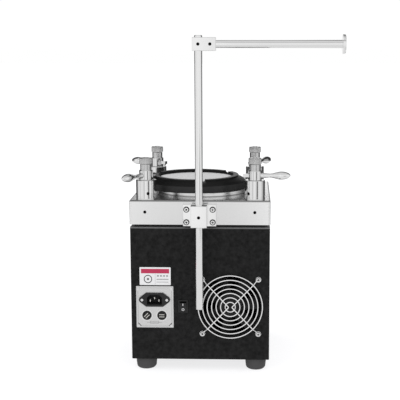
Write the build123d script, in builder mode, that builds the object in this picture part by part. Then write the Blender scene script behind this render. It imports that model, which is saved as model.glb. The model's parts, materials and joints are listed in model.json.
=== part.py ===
"""A small bench lapping machine: an orbiting round plate under four corner pressure posts, with a
hanger mast at the back. Millimetres, +Z up, the operator's side at +Y, origin on the floor under the
middle of the case."""

from build123d import *
from math import cos, pi, radians, sin, tan
import os

os.makedirs("parts", exist_ok=True)

# ---- driving dimensions ----------------------------------------------------------------------------
SIDE = 220.0  # depth of case and deck, front to back
HALF = SIDE / 2
CASE_W = 222.5  # width of the case
DECK_W = 223.5  # width of the deck
SHEET = 1.5  # powder-coated sheet
BEND = 2.0  # outside bend radius of the sheet
FOOT_H = 20.0
CASE_TOP = 237.5
DECK_BOTTOM = 242.0
DECK_TOP = 281.0
NECK_HALF = 104.0  # half width of the dark neck under the deck
RETURN = 12.0  # depth of the folded edges of the panels
SEAM = 0.3  # gap between neighbouring panels
FIT = 0.05  # radial clearance of a running fit
CLEAR = 0.3  # clearance between pieces that move past each other

POST_XY = 87.0  # the four corner posts
POST_R = 16.0
POST_H = 30.0
SHANK_R = 5.0
HEAD_R = 10.8  # sleeve of the pressure head
HEAD_H = 15.5
NECK_R = 9.0
NECK_H = 9.6
KNOB_R = 10.35
KNOB_H = 9.9
LEVER_Z = DECK_TOP + 37.0

THROW = 12.5  # eccentric throw of the plate
MODULE = 2.5
RING_TEETH = 50
PLANET_TEETH = 40
ADDENDUM = 1.6
DEDENDUM = 2.4
TOOTH_HALF = 0.21  # half tooth thickness at the pitch line, in pitches
FLANK = 20.0  # flank angle in degrees

MOTOR_Y = 62.0
DRIVEN_R = 35.0  # belt radius on the spindle pulley
DRIVER_R = 14.0  # belt radius on the motor pulley, for a 2.5 to 1 drive
BELT_T = 2.0
BELT_Z = 184.0  # underside of the belt track
TRACK_H = 10.0

FAN_X = 48.4
FAN_Z = 108.5
FAN_SIDE = 104.0
FAN_DEPTH = 25.0
FAN_PITCH = 90.0
FAN_HOLE_R = 49.0
GUARD_RINGS = (8.0, 15.5, 22.7, 29.9, 37.1, 44.3, 51.5)
WIRE_R = 0.95

INLET_X = -72.8  # aluminium plate that carries the inlet and the fuses
INLET_Z = 107.3
INLET_W = 60.0
INLET_H = 68.8
SOCKET_X = -73.2
SOCKET_Z = 119.6
FUSE_XS = (-85.7, -61.6)
FUSE_Z = 93.5
ROCKER_X = -27.5
ROCKER_Z = 108.6

MAST_Y = -128.0  # axis of the upright rod behind the case
ROD_R = 6.0
MAST_BOTTOM = 109.0
MAST_TOP = 537.0
ARM_Z = 523.8
ARM_END = 218.0

# name, x side, y side, direction of the lever, direction of the grub screw, in degrees from +X
POSTS = (
    ("rear_left", -1, -1, 236.0, 287.0),
    ("rear_right", 1, -1, 0.0, 231.0),
    ("front_left", -1, 1, 150.0, 60.0),
    ("front_right", 1, 1, 60.5, 120.0),
)


def out_plane(y):
    """The upright plane at y that faces the back, with X to the right and Z up."""
    return Plane.XZ.offset(-y)


def front_plane(y):
    """The upright plane at y that faces the front, with Z up."""
    return Plane(origin=(0, y, 0), x_dir=(-1, 0, 0), z_dir=(0, 1, 0))


def post_place(side_x, side_y, z):
    return (side_x * POST_XY, side_y * POST_XY, z)


# ---- feet and base ---------------------------------------------------------------------------------
FOOT_XY = 89.5
FOOT_BOTTOM_R = 15.6
FOOT_TAPER = 6.0
FOOT_ROUND = 5.5
FOOT_SCREW_R = 2.0
FOOT_SINK_R = 6.5
FOOT_SINK = 9.0
BASE_T = 2.0
BASE_LEN = SIDE - 2 * SHEET - SEAM
BASE_W = CASE_W - 2 * SHEET - SEAM
VENT_W, VENT_L, VENT_PITCH, VENTS = 4.0, 46.0, 9.0, 9

with BuildPart() as rubber_feet:
    with BuildSketch():
        with GridLocations(2 * FOOT_XY, 2 * FOOT_XY, 2, 2):
            Circle(FOOT_BOTTOM_R)
    extrude(amount=FOOT_H, taper=-FOOT_TAPER)
    fillet(rubber_feet.edges().filter_by(GeomType.CIRCLE).group_by(Axis.Z)[0], FOOT_ROUND)
    with BuildSketch():
        with GridLocations(2 * FOOT_XY, 2 * FOOT_XY, 2, 2):
            Circle(FOOT_SINK_R)
    extrude(amount=FOOT_SINK, mode=Mode.SUBTRACT)
    with BuildSketch():
        with GridLocations(2 * FOOT_XY, 2 * FOOT_XY, 2, 2):
            Circle(FOOT_SCREW_R)
    extrude(amount=FOOT_H, mode=Mode.SUBTRACT)
rubber_feet.part.label = "rubber_feet"
export_step(rubber_feet.part, "parts/rubber_feet.step")

with BuildPart() as base_plate:
    with BuildSketch(Plane.XY.offset(FOOT_H)):
        Rectangle(BASE_W, BASE_LEN)
        with GridLocations(2 * FOOT_XY, 2 * FOOT_XY, 2, 2):
            Circle(FOOT_SCREW_R, mode=Mode.SUBTRACT)
        with Locations((-36, 0), (36, 0)):
            with GridLocations(0, VENT_PITCH, 1, VENTS):
                SlotOverall(VENT_L, VENT_W, mode=Mode.SUBTRACT)
    extrude(amount=BASE_T)
base_plate.part.label = "base_plate"
export_step(base_plate.part, "parts/base_plate.step")

# ---- corner frame and panels -----------------------------------------------------------------------
FRAME_BAR = 8.0
FRAME_X = CASE_W / 2 - SHEET - CLEAR - FRAME_BAR / 2
FRAME_Y = HALF - SHEET - CLEAR - FRAME_BAR / 2
PANEL_H = CASE_TOP - FOOT_H
PANEL_Z = (CASE_TOP + FOOT_H) / 2
COVER_LEN = SIDE - 2 * RETURN - 2 * SEAM

with BuildPart() as frame_posts:
    with BuildSketch(Plane.XY.offset(FOOT_H + BASE_T)):
        with GridLocations(2 * FRAME_X, 2 * FRAME_Y, 2, 2):
            Rectangle(FRAME_BAR, FRAME_BAR)
    extrude(amount=CASE_TOP - SHEET - FOOT_H - BASE_T)
frame_posts.part.label = "frame_posts"
export_step(frame_posts.part, "parts/frame_posts.step")

SOCKET_BODY_W, SOCKET_BODY_H = 27.5, 20.0
FUSE_BODY_R = 5.9
ROCKER_BODY_W, ROCKER_BODY_H = 12.6, 18.2
SMALL_SCREW_R = 1.4
FAN_SCREW_R = 1.9
PLATE_SCREW_X = INLET_W / 2 - 3.6
PLATE_SCREW_Z = INLET_H / 2 - 3.6

with BuildPart() as rear_panel:
    with BuildSketch(out_plane(-HALF)):
        with Locations((0, PANEL_Z)):
            Rectangle(CASE_W, PANEL_H)
    extrude(amount=-RETURN)
    outer_edges = rear_panel.faces().sort_by(Axis.Y)[0].edges()
    fillet(outer_edges.group_by(Axis.Z)[1] + outer_edges.group_by(Axis.Z)[-1], BEND)
    with BuildSketch(out_plane(-HALF + SHEET)):
        with Locations((0, PANEL_Z - SHEET)):
            Rectangle(CASE_W - 2 * SHEET, PANEL_H)
    extrude(amount=-RETURN, mode=Mode.SUBTRACT)
    with BuildSketch(out_plane(-HALF)):
        with Locations((FAN_X, FAN_Z)):
            Circle(FAN_HOLE_R)
            with GridLocations(FAN_PITCH, FAN_PITCH, 2, 2):
                Circle(FAN_SCREW_R)
        with Locations((SOCKET_X, SOCKET_Z)):
            Rectangle(SOCKET_BODY_W, SOCKET_BODY_H)
        with Locations(*[(x, FUSE_Z) for x in FUSE_XS]):
            Circle(FUSE_BODY_R)
        with Locations((ROCKER_X, ROCKER_Z)):
            Rectangle(ROCKER_BODY_W, ROCKER_BODY_H)
        with Locations((INLET_X, INLET_Z)):
            with GridLocations(2 * PLATE_SCREW_X, 2 * PLATE_SCREW_Z, 2, 2):
                Circle(SMALL_SCREW_R)
        with Locations((SOCKET_X - 20, SOCKET_Z), (SOCKET_X + 20, SOCKET_Z)):
            Circle(SMALL_SCREW_R)
    extrude(amount=-SHEET, mode=Mode.SUBTRACT)
rear_panel.part.label = "rear_panel"
export_step(rear_panel.part, "parts/rear_panel.step")

DIAL_X, DIAL_Z = 48.0, 120.0
BUTTON_XS = (-62.0, -34.0)
BUTTON_Z = 120.0
BUTTON_R = 8.0
DIAL_SHAFT_R = 3.0

with BuildPart() as front_panel:
    with BuildSketch(front_plane(HALF)):
        with Locations((0, PANEL_Z)):
            Rectangle(CASE_W, PANEL_H)
    extrude(amount=-RETURN)
    outer_edges = front_panel.faces().sort_by(Axis.Y)[-1].edges()
    fillet(outer_edges.group_by(Axis.Z)[1] + outer_edges.group_by(Axis.Z)[-1], BEND)
    with BuildSketch(front_plane(HALF - SHEET)):
        with Locations((0, PANEL_Z - SHEET)):
            Rectangle(CASE_W - 2 * SHEET, PANEL_H)
    extrude(amount=-RETURN, mode=Mode.SUBTRACT)
    with BuildSketch(front_plane(HALF)):
        with Locations((-DIAL_X, DIAL_Z)):
            Circle(DIAL_SHAFT_R + CLEAR)
        with Locations(*[(-x, BUTTON_Z) for x in BUTTON_XS]):
            Circle(BUTTON_R + CLEAR)
    extrude(amount=-SHEET, mode=Mode.SUBTRACT)
front_panel.part.label = "front_panel"
export_step(front_panel.part, "parts/front_panel.step")

for name, side in (("left_cover", -1), ("right_cover", 1)):
    with BuildPart() as side_cover:
        with BuildSketch(Plane.YZ.offset(side * CASE_W / 2)):
            with Locations((0, PANEL_Z)):
                Rectangle(COVER_LEN, PANEL_H)
        extrude(amount=-side * RETURN)
        with BuildSketch(Plane.YZ.offset(side * (CASE_W / 2 - SHEET))):
            with Locations((0, PANEL_Z - SHEET)):
                Rectangle(COVER_LEN, PANEL_H)
        extrude(amount=-side * RETURN, mode=Mode.SUBTRACT)
        outwards = Axis((0, 0, 0), (side, 0, 0))
        top_edges = side_cover.edges().filter_by(Axis.Y).group_by(Axis.Z)[-1]
        fillet(top_edges.sort_by(outwards)[-1], BEND - SHEET / 3)
    side_cover.part.label = name
    export_step(side_cover.part, f"parts/{name}.step")

# ---- neck plate and deck ---------------------------------------------------------------------------
LEDGE_HALF = 94.0
LEDGE_Z = 229.0
HOUSING_R = 31.0
FLANGE_R = 46.0
FLANGE_T = 6.0
CAVITY_HALF = 98.0
BOSS = 30.0
DECK_SKIN_Z = 268.0  # underside of the deck's top
DECK_ROUND = 3.0
DECK_TOP_ROUND = 2.6
DECK_FLOOR = 8.0  # thickness left under the post bores
PAD_BOLT = 14.0  # extra width of the bracket's bolting pad
PAD_DEPTH = 8.0
RING_GEAR_Z = 271.0
RING_GEAR_R = 70.0
DECK_HOLE_R = 66.5
GRUB_R = 2.5
DECK_GRUB_Z = 262.0
BRACKET_SCREW_X = 20.7
BRACKET_SCREW_ZS = (247.1, 267.4)
SCREW_R = 2.0

with BuildPart() as support_plate:
    with BuildSketch(Plane.XY.offset(CASE_TOP)):
        Rectangle(2 * NECK_HALF, 2 * NECK_HALF)
    extrude(amount=DECK_BOTTOM - CASE_TOP)
    with BuildSketch(Plane.XY.offset(LEDGE_Z)):
        Rectangle(2 * LEDGE_HALF, 2 * LEDGE_HALF)
    extrude(amount=CASE_TOP - LEDGE_Z)
    with BuildSketch(Plane.XY.offset(LEDGE_Z)):
        Circle(HOUSING_R + CLEAR)
    extrude(amount=DECK_BOTTOM - LEDGE_Z, mode=Mode.SUBTRACT)
support_plate.part.label = "support_plate"
export_step(support_plate.part, "parts/support_plate.step")

with BuildPart() as deck:
    with BuildSketch(Plane.XY.offset(DECK_BOTTOM)):
        Rectangle(DECK_W, SIDE)
    extrude(amount=DECK_TOP - DECK_BOTTOM)
    fillet(deck.edges().filter_by(Axis.Z), DECK_ROUND)
    fillet(deck.faces().sort_by(Axis.Z)[-1].edges(), DECK_TOP_ROUND)
    with BuildSketch(Plane.XY.offset(DECK_BOTTOM)):
        Rectangle(2 * CAVITY_HALF, 2 * CAVITY_HALF)
        with GridLocations(2 * POST_XY, 2 * POST_XY, 2, 2):
            Rectangle(BOSS, BOSS, mode=Mode.SUBTRACT)
        with Locations((0, -CAVITY_HALF)):
            Rectangle(2 * BRACKET_SCREW_X + PAD_BOLT, 2 * PAD_DEPTH, mode=Mode.SUBTRACT)
    extrude(amount=DECK_SKIN_Z - DECK_BOTTOM, mode=Mode.SUBTRACT)
    with BuildSketch(Plane.XY.offset(DECK_SKIN_Z)):
        Circle(DECK_HOLE_R)
    extrude(amount=DECK_TOP - DECK_SKIN_Z, mode=Mode.SUBTRACT)
    with BuildSketch(Plane.XY.offset(RING_GEAR_Z)):
        Circle(RING_GEAR_R)
    extrude(amount=DECK_TOP - RING_GEAR_Z, mode=Mode.SUBTRACT)
    with BuildSketch(Plane.XY.offset(DECK_BOTTOM + DECK_FLOOR)):
        with GridLocations(2 * POST_XY, 2 * POST_XY, 2, 2):
            Circle(SHANK_R)
    extrude(amount=DECK_TOP - DECK_BOTTOM - DECK_FLOOR, mode=Mode.SUBTRACT)
    with BuildSketch(out_plane(-HALF)):
        with Locations((-POST_XY, DECK_GRUB_Z), (POST_XY, DECK_GRUB_Z)):
            Circle(GRUB_R)
    extrude(amount=-(HALF - POST_XY), mode=Mode.SUBTRACT)
    with BuildSketch(out_plane(HALF)):
        with Locations((-POST_XY, DECK_GRUB_Z), (POST_XY, DECK_GRUB_Z)):
            Circle(GRUB_R)
    extrude(amount=HALF - POST_XY, mode=Mode.SUBTRACT)
    with BuildSketch(out_plane(-HALF)):
        with Locations(*[(s * BRACKET_SCREW_X, z) for s in (-1, 1) for z in BRACKET_SCREW_ZS]):
            Circle(SCREW_R)
    extrude(amount=-12, mode=Mode.SUBTRACT)
deck.part.label = "deck"
export_step(deck.part, "parts/deck.step")

# ---- corner pressure posts -------------------------------------------------------------------------
SHANK_BOTTOM = DECK_BOTTOM + DECK_FLOOR
HEAD_Z = DECK_TOP + POST_H + CLEAR
NECK_Z = DECK_TOP + POST_H + HEAD_H
KNOB_Z = NECK_Z + NECK_H
SPRING_R = 7.0
SPRING_WIRE_R = 0.8
SPRING_COILS = 4
SPRING_POCKET_R = 8.6
SPRING_POCKET_H = 11.0
STEM_R = 6.0
BASE_GROOVE_Z = DECK_TOP + 3.6
BASE_GROOVE = 0.6
BASE_GRUB_Z = DECK_TOP + 9.4

with BuildPart() as post_shanks:
    with BuildSketch(Plane.XY.offset(SHANK_BOTTOM)):
        with GridLocations(2 * POST_XY, 2 * POST_XY, 2, 2):
            Circle(SHANK_R)
    extrude(amount=NECK_Z + 1 - SHANK_BOTTOM)
    chamfer(post_shanks.edges().group_by(Axis.Z)[-1], 0.8)
post_shanks.part.label = "post_shanks"
export_step(post_shanks.part, "parts/post_shanks.step")

with BuildPart() as post_bases:
    with BuildSketch(Plane.XY.offset(DECK_TOP)):
        with GridLocations(2 * POST_XY, 2 * POST_XY, 2, 2):
            Circle(POST_R)
            Circle(SHANK_R, mode=Mode.SUBTRACT)
    extrude(amount=POST_H)
    chamfer(post_bases.faces().group_by(Axis.Z)[-1].edges().filter_by(
        lambda edge: edge.radius > SHANK_R + 1), 0.7)
    with BuildSketch(Plane.XY.offset(BASE_GROOVE_Z)):
        with GridLocations(2 * POST_XY, 2 * POST_XY, 2, 2):
            Circle(POST_R + 1)
            Circle(POST_R - BASE_GROOVE, mode=Mode.SUBTRACT)
    extrude(amount=BASE_GROOVE, mode=Mode.SUBTRACT)
    for _, side_x, side_y, _, grub_angle in POSTS:
        grub_dir = (cos(radians(grub_angle)), sin(radians(grub_angle)), 0)
        with BuildSketch(Plane(origin=post_place(side_x, side_y, BASE_GRUB_Z), z_dir=grub_dir)):
            Circle(GRUB_R)
        extrude(amount=POST_R + 1, mode=Mode.SUBTRACT)
post_bases.part.label = "post_bases"
export_step(post_bases.part, "parts/post_bases.step")

FINGER_REACH = 19.0
FINGER_W = 6.5
FINGER_T = 5.0
TIP_REACH = 16.3
TIP_H = 3.2
LEVER_SEAT = 9.6  # flat on the sleeve where the lever's stem lands
LEVER_STEM_R = 4.3

for name, side_x, side_y, lever_angle, _ in POSTS:
    lever_dir = (cos(radians(lever_angle)), sin(radians(lever_angle)), 0)
    axis_foot = post_place(side_x, side_y, 0)
    lever_plane = Plane(origin=post_place(side_x, side_y, LEVER_Z), x_dir=lever_dir, z_dir=(0, 0, 1))

    with BuildPart() as press_head:
        with BuildSketch(Plane.XY.offset(HEAD_Z)):
            with Locations(axis_foot[:2]):
                Circle(HEAD_R)
        extrude(amount=NECK_Z - HEAD_Z)
        chamfer(press_head.edges().group_by(Axis.Z)[-1], 0.8)
        with BuildSketch(Plane.XY.offset(NECK_Z)):
            with Locations(axis_foot[:2]):
                Circle(NECK_R)
        extrude(amount=NECK_H - CLEAR)
        with BuildSketch(lever_plane.offset(-FINGER_T / 2)):
            with Locations((-FINGER_REACH / 2, 0)):
                Rectangle(FINGER_REACH, FINGER_W)
        extrude(amount=FINGER_T)
        with BuildSketch(lever_plane.offset(-FINGER_T / 2)):
            with Locations((-TIP_REACH, 0)):
                Circle(FINGER_W / 2 - 0.8)
        extrude(amount=-TIP_H, taper=28)
        with BuildSketch(Plane.XY.offset(HEAD_Z)):
            with Locations(axis_foot[:2]):
                Circle(SPRING_POCKET_R)
        extrude(amount=SPRING_POCKET_H, mode=Mode.SUBTRACT)
        with BuildSketch(Plane.XY.offset(HEAD_Z)):
            with Locations(axis_foot[:2]):
                Circle(SHANK_R + FIT)
        extrude(amount=NECK_Z - HEAD_Z + 2, mode=Mode.SUBTRACT)
        with BuildSketch(Plane.XY.offset(NECK_Z + 1.2)):
            with Locations(axis_foot[:2]):
                Circle(STEM_R + CLEAR)
        extrude(amount=NECK_H, mode=Mode.SUBTRACT)
        with BuildSketch(Plane(origin=lever_plane.origin, z_dir=lever_dir).offset(LEVER_SEAT)):
            Circle(LEVER_STEM_R)
        extrude(amount=HEAD_R, mode=Mode.SUBTRACT)
    press_head.part.label = f"press_head_{name}"
    export_step(press_head.part, f"parts/press_head_{name}.step")

    with BuildPart() as lever:
        with BuildSketch(lever_plane):
            with BuildLine():
                stem = Polyline((LEVER_SEAT, 0), (LEVER_SEAT, LEVER_STEM_R), (14, LEVER_STEM_R))
                Spline(
                    stem @ 1,
                    (25, 3.2),
                    (32, 4.5),
                    (41, 6.5),
                    (50, 5.0),
                    (56.4, 0),
                    tangents=((1, 0), (0, -1)),
                )
                Line((56.4, 0), (LEVER_SEAT, 0))
            make_face()
        revolve(axis=Axis(lever_plane.origin, lever_dir))
    lever.part.label = f"lever_{name}"
    export_step(lever.part, f"parts/lever_{name}.step")

    with BuildPart() as knob:
        with BuildSketch(Plane.XY.offset(KNOB_Z)):
            with Locations(axis_foot[:2]):
                Circle(KNOB_R)
        extrude(amount=KNOB_H)
        chamfer(knob.edges().group_by(Axis.Z)[-1], 0.8)
        chamfer(knob.edges().group_by(Axis.Z)[0], 0.8)
        with BuildSketch(Plane.XY.offset(KNOB_Z + KNOB_H)):
            with Locations(axis_foot[:2]):
                Circle(2.6)
        extrude(amount=0.9)
        with BuildSketch(Plane.XY.offset(NECK_Z + 1.6)):
            with Locations(axis_foot[:2]):
                Circle(STEM_R)
        extrude(amount=KNOB_Z - NECK_Z - 1.6)
    knob.part.label = f"knob_{name}"
    export_step(knob.part, f"parts/knob_{name}.step")

with BuildPart() as pressure_springs:
    for _, side_x, side_y, _, _ in POSTS:
        with BuildLine(Plane(origin=post_place(side_x, side_y, HEAD_Z + SPRING_WIRE_R + 0.5))):
            coil = Helix(
                pitch=(SPRING_POCKET_H - 2 * SPRING_WIRE_R - 1) / SPRING_COILS,
                height=SPRING_POCKET_H - 2 * SPRING_WIRE_R - 1,
                radius=SPRING_R,
            )
        with BuildSketch(Plane(origin=coil @ 0, z_dir=coil % 0)):
            Circle(SPRING_WIRE_R)
        sweep(path=coil, is_frenet=True)
pressure_springs.part.label = "pressure_springs"
export_step(pressure_springs.part, "parts/pressure_springs.step")

# ---- orbiting plate: ring gear, planet gear, plate, pad and splash ring ----------------------------


def gear_outline(teeth, tooth_side):
    """The corner points of a straight-flanked gear, tooth by tooth. tooth_side is +1 where the
    teeth point outwards and -1 where they point inwards."""
    pitch_r = MODULE * teeth / 2
    tip_r = pitch_r + tooth_side * ADDENDUM
    root_r = pitch_r - tooth_side * DEDENDUM
    half = TOOTH_HALF * MODULE * pi
    tip_half = half - ADDENDUM * tan(radians(FLANK))
    root_half = half + DEDENDUM * tan(radians(FLANK))
    points = []
    for tooth in range(teeth):
        middle = 360 / teeth * tooth
        for radius, offset in ((root_r, -root_half), (tip_r, -tip_half), (tip_r, tip_half), (root_r, root_half)):
            angle = radians(middle) + offset / radius
            points.append((radius * cos(angle), radius * sin(angle)))
    return points


COLLAR_R = 76.0
COLLAR_BORE_R = 65.5
COLLAR_H = 6.5
PLANET_Z = RING_GEAR_Z + 0.5
PLANET_H = 9.0
HUB_R = 42.0
PLATE_Z = 289.0
BEARING_R = 18.5
PIN_R = 10.0
PLATE_R = 78.0
STEP_R = 63.2
STEP_Z = 297.0
PLATE_TOP = 301.0
PAD_R = 62.8
PAD_TOP = 303.0
RIM_R = 63.5
SHOULDER_R = 72.0
SHOULDER_Z = 308.3
SKIRT_R = 85.5
SKIRT_Z = 299.0
SKIRT_BOTTOM = 288.3
SKIRT_T = 3.0
NOTCH_W = 14.0
LIP_FOOT = 2.9  # height of the upright lip above the sloping shoulder
LIP_STEP = 1.4
NOTCH_ANGLES = (40.0, 160.0, 280.0)
# The throw points along -X, where a tooth of the ring meets a space of the planet.
HALF_TOOTH = radians(180 / PLANET_TEETH)
HALF_TOOTH_DIR = (cos(HALF_TOOTH), sin(HALF_TOOTH), 0)
PLATE_SECTION = Plane(origin=(-THROW, 0, 0), x_dir=(1, 0, 0), z_dir=(0, -1, 0))
PLATE_AXIS = Axis((-THROW, 0, 0), (0, 0, 1))

with BuildPart() as collar_ring:
    with BuildSketch(Plane.XY.offset(DECK_TOP)):
        Circle(COLLAR_R)
        Circle(COLLAR_BORE_R, mode=Mode.SUBTRACT)
    extrude(amount=COLLAR_H)
    chamfer(collar_ring.faces().sort_by(Axis.Z)[-1].edges(), 0.6)
collar_ring.part.label = "collar_ring"
export_step(collar_ring.part, "parts/collar_ring.step")

with BuildPart() as ring_gear:
    with BuildSketch(Plane.XY.offset(RING_GEAR_Z)):
        Circle(RING_GEAR_R)
        with BuildLine():
            Polyline(*gear_outline(RING_TEETH, -1), close=True)
        make_face(mode=Mode.SUBTRACT)
    extrude(amount=DECK_TOP - RING_GEAR_Z)
ring_gear.part.label = "ring_gear"
export_step(ring_gear.part, "parts/ring_gear.step")

with BuildPart() as planet_gear:
    with BuildSketch(Plane(origin=(-THROW, 0, PLANET_Z), x_dir=HALF_TOOTH_DIR, z_dir=(0, 0, 1))):
        with BuildLine():
            Polyline(*gear_outline(PLANET_TEETH, 1), close=True)
        make_face()
    extrude(amount=PLANET_H)
    with BuildSketch(Plane.XY.offset(PLANET_Z + PLANET_H)):
        with Locations((-THROW, 0)):
            Circle(HUB_R)
    extrude(amount=PLATE_Z - PLANET_Z - PLANET_H)
    with BuildSketch(Plane.XY.offset(PLANET_Z)):
        with Locations((-THROW, 0)):
            Circle(BEARING_R)
    extrude(amount=PLATE_Z - PLANET_Z, mode=Mode.SUBTRACT)
planet_gear.part.label = "planet_gear"
export_step(planet_gear.part, "parts/planet_gear.step")


def bearing_outline(inner_r, outer_r, bottom, width):
    """Half section of a ball bearing with the shallow groove between its races, axis at r = 0."""
    middle = (inner_r + outer_r) / 2
    land = (outer_r - inner_r) * 0.18
    dip = width * 0.08
    return (
        (inner_r, bottom),
        (middle - land, bottom),
        (middle - land, bottom + dip),
        (middle + land, bottom + dip),
        (middle + land, bottom),
        (outer_r, bottom),
        (outer_r, bottom + width),
        (middle + land, bottom + width),
        (middle + land, bottom + width - dip),
        (middle - land, bottom + width - dip),
        (middle - land, bottom + width),
        (inner_r, bottom + width),
    )


with BuildPart() as plate_bearings:
    for bearing_z in (PLANET_Z + 0.2, PLATE_Z - 8.2):
        with BuildSketch(PLATE_SECTION):
            with BuildLine():
                Polyline(*bearing_outline(PIN_R + FIT, BEARING_R, bearing_z, 8.0), close=True)
            make_face()
        revolve(axis=PLATE_AXIS)
plate_bearings.part.label = "plate_bearings"
export_step(plate_bearings.part, "parts/plate_bearings.step")

with BuildPart() as lap_plate:
    with BuildSketch(Plane.XY.offset(PLATE_Z)):
        with Locations((-THROW, 0)):
            Circle(PLATE_R)
    extrude(amount=STEP_Z - PLATE_Z)
    with BuildSketch(Plane.XY.offset(STEP_Z)):
        with Locations((-THROW, 0)):
            Circle(STEP_R)
    extrude(amount=PLATE_TOP - STEP_Z)
    with BuildSketch(Plane.XY.offset(PLATE_Z)):
        with Locations((-THROW, 0)):
            Circle(PIN_R + 1)
    extrude(amount=2, mode=Mode.SUBTRACT)
lap_plate.part.label = "lap_plate"
export_step(lap_plate.part, "parts/lap_plate.step")

with BuildPart() as polish_pad:
    with BuildSketch(Plane.XY.offset(PLATE_TOP)):
        with Locations((-THROW, 0)):
            Circle(PAD_R)
    extrude(amount=PAD_TOP - PLATE_TOP)
    fillet(polish_pad.edges().group_by(Axis.Z)[-1], 0.4)
polish_pad.part.label = "polish_pad"
export_step(polish_pad.part, "parts/polish_pad.step")

with BuildPart() as splash_ring:
    with BuildSketch(PLATE_SECTION):
        with BuildLine():
            Polyline(
                (RIM_R, STEP_Z),
                (SKIRT_R - SKIRT_T, STEP_Z),
                (SKIRT_R - SKIRT_T, SKIRT_BOTTOM),
                (SKIRT_R, SKIRT_BOTTOM),
                (SKIRT_R, SKIRT_Z),
                (SHOULDER_R + LIP_STEP, SHOULDER_Z - LIP_FOOT),
                (SHOULDER_R, SHOULDER_Z - LIP_FOOT),
                (SHOULDER_R, SHOULDER_Z),
                (RIM_R, SHOULDER_Z),
                close=True,
            )
        make_face()
    revolve(axis=PLATE_AXIS)
    for notch_angle in NOTCH_ANGLES:
        notch_dir = (cos(radians(notch_angle)), sin(radians(notch_angle)), 0)
        with BuildSketch(Plane(origin=(-THROW, 0, PAD_TOP - 0.5), x_dir=notch_dir, z_dir=(0, 0, 1))):
            with Locations((RIM_R + SKIRT_R / 2, 0)):
                Rectangle(SKIRT_R + 4, NOTCH_W)
        extrude(amount=SHOULDER_Z, mode=Mode.SUBTRACT)
splash_ring.part.label = "splash_ring"
export_step(splash_ring.part, "parts/splash_ring.step")

# ---- spindle ---------------------------------------------------------------------------------------
SHAFT_R = 10.0
SHAFT_BOTTOM = 181.0
CRANK_Z = 252.0
CRANK_TOP = 262.0
CRANK_R = 30.0
WEIGHT_R = 58.0
WEIGHT_X = 8.0
HOUSING_BOTTOM = 200.0
SEAT_R = 21.0
SEAT_W = 12.0

with BuildPart() as spindle:
    with BuildSketch(Plane.XY.offset(SHAFT_BOTTOM)):
        Circle(SHAFT_R)
    extrude(amount=CRANK_Z - SHAFT_BOTTOM)
    with BuildSketch(Plane.XY.offset(CRANK_Z)):
        Circle(CRANK_R)
        with BuildLine():
            heel = ThreePointArc((WEIGHT_X, 1 - WEIGHT_R), (WEIGHT_R, 0), (WEIGHT_X, WEIGHT_R - 1))
            Line(heel @ 1, heel @ 0)
        make_face()
    extrude(amount=CRANK_TOP - CRANK_Z)
    with BuildSketch(Plane.XY.offset(CRANK_TOP)):
        with Locations((-THROW, 0)):
            Circle(PIN_R)
    extrude(amount=PLATE_Z + 0.5 - CRANK_TOP)
    chamfer(spindle.edges().group_by(Axis.Z)[-1], 0.6)
spindle.part.label = "spindle"
export_step(spindle.part, "parts/spindle.step")

with BuildPart() as spindle_housing:
    with BuildSketch(Plane.XY.offset(HOUSING_BOTTOM)):
        Circle(HOUSING_R)
    extrude(amount=DECK_BOTTOM - HOUSING_BOTTOM)
    with BuildSketch(Plane.XY.offset(DECK_BOTTOM)):
        Circle(FLANGE_R)
    extrude(amount=FLANGE_T)
    with BuildSketch(Plane.XY.offset(HOUSING_BOTTOM)):
        Circle(SEAT_R - 4)
    extrude(amount=DECK_BOTTOM + FLANGE_T - HOUSING_BOTTOM, mode=Mode.SUBTRACT)
    for seat_z in (HOUSING_BOTTOM, DECK_BOTTOM + FLANGE_T - SEAT_W):
        with BuildSketch(Plane.XY.offset(seat_z)):
            Circle(SEAT_R)
        extrude(amount=SEAT_W, mode=Mode.SUBTRACT)
spindle_housing.part.label = "spindle_housing"
export_step(spindle_housing.part, "parts/spindle_housing.step")

with BuildPart() as spindle_bearings:
    for seat_z in (HOUSING_BOTTOM, DECK_BOTTOM + FLANGE_T - SEAT_W):
        with BuildSketch(Plane.XZ):
            with BuildLine():
                Polyline(*bearing_outline(SHAFT_R + FIT, SEAT_R, seat_z, SEAT_W), close=True)
            make_face()
        revolve(axis=Axis.Z)
spindle_bearings.part.label = "spindle_bearings"
export_step(spindle_bearings.part, "parts/spindle_bearings.step")

# ---- belt drive ------------------------------------------------------------------------------------
MOTOR_R = 38.0
MOTOR_BOTTOM = 76.0
MOTOR_TOP = 170.0
MOTOR_SHAFT_R = 5.0
PULLEY_LIP = 3.0
LIP_T = 2.0
BRACKET_T = 3.0
BRACKET_Z = 176.0
BRACKET_HALF = 47.0
BRACKET_LEN = 84.0
BRACKET_FOOT = 10.0


def pulley_outline(track_r, bore_r):
    """Half section of a flat-belt pulley with a lip on each side of the track."""
    lip_r = track_r + PULLEY_LIP
    bottom = BELT_Z - LIP_T
    top = BELT_Z + TRACK_H
    return (
        (bore_r, bottom),
        (lip_r, bottom),
        (lip_r, BELT_Z),
        (track_r, BELT_Z),
        (track_r, top),
        (lip_r, top),
        (lip_r, top + LIP_T),
        (bore_r, top + LIP_T),
    )


with BuildPart() as driven_pulley:
    with BuildSketch(Plane.XZ):
        with BuildLine():
            Polyline(*pulley_outline(DRIVEN_R, SHAFT_R), close=True)
        make_face()
    revolve(axis=Axis.Z)
    with BuildSketch(Plane.XY.offset(BELT_Z - LIP_T)):
        with PolarLocations(22.5, 6):
            Circle(6)
    extrude(amount=TRACK_H + 2 * LIP_T, mode=Mode.SUBTRACT)
driven_pulley.part.label = "driven_pulley"
export_step(driven_pulley.part, "parts/driven_pulley.step")

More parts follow.
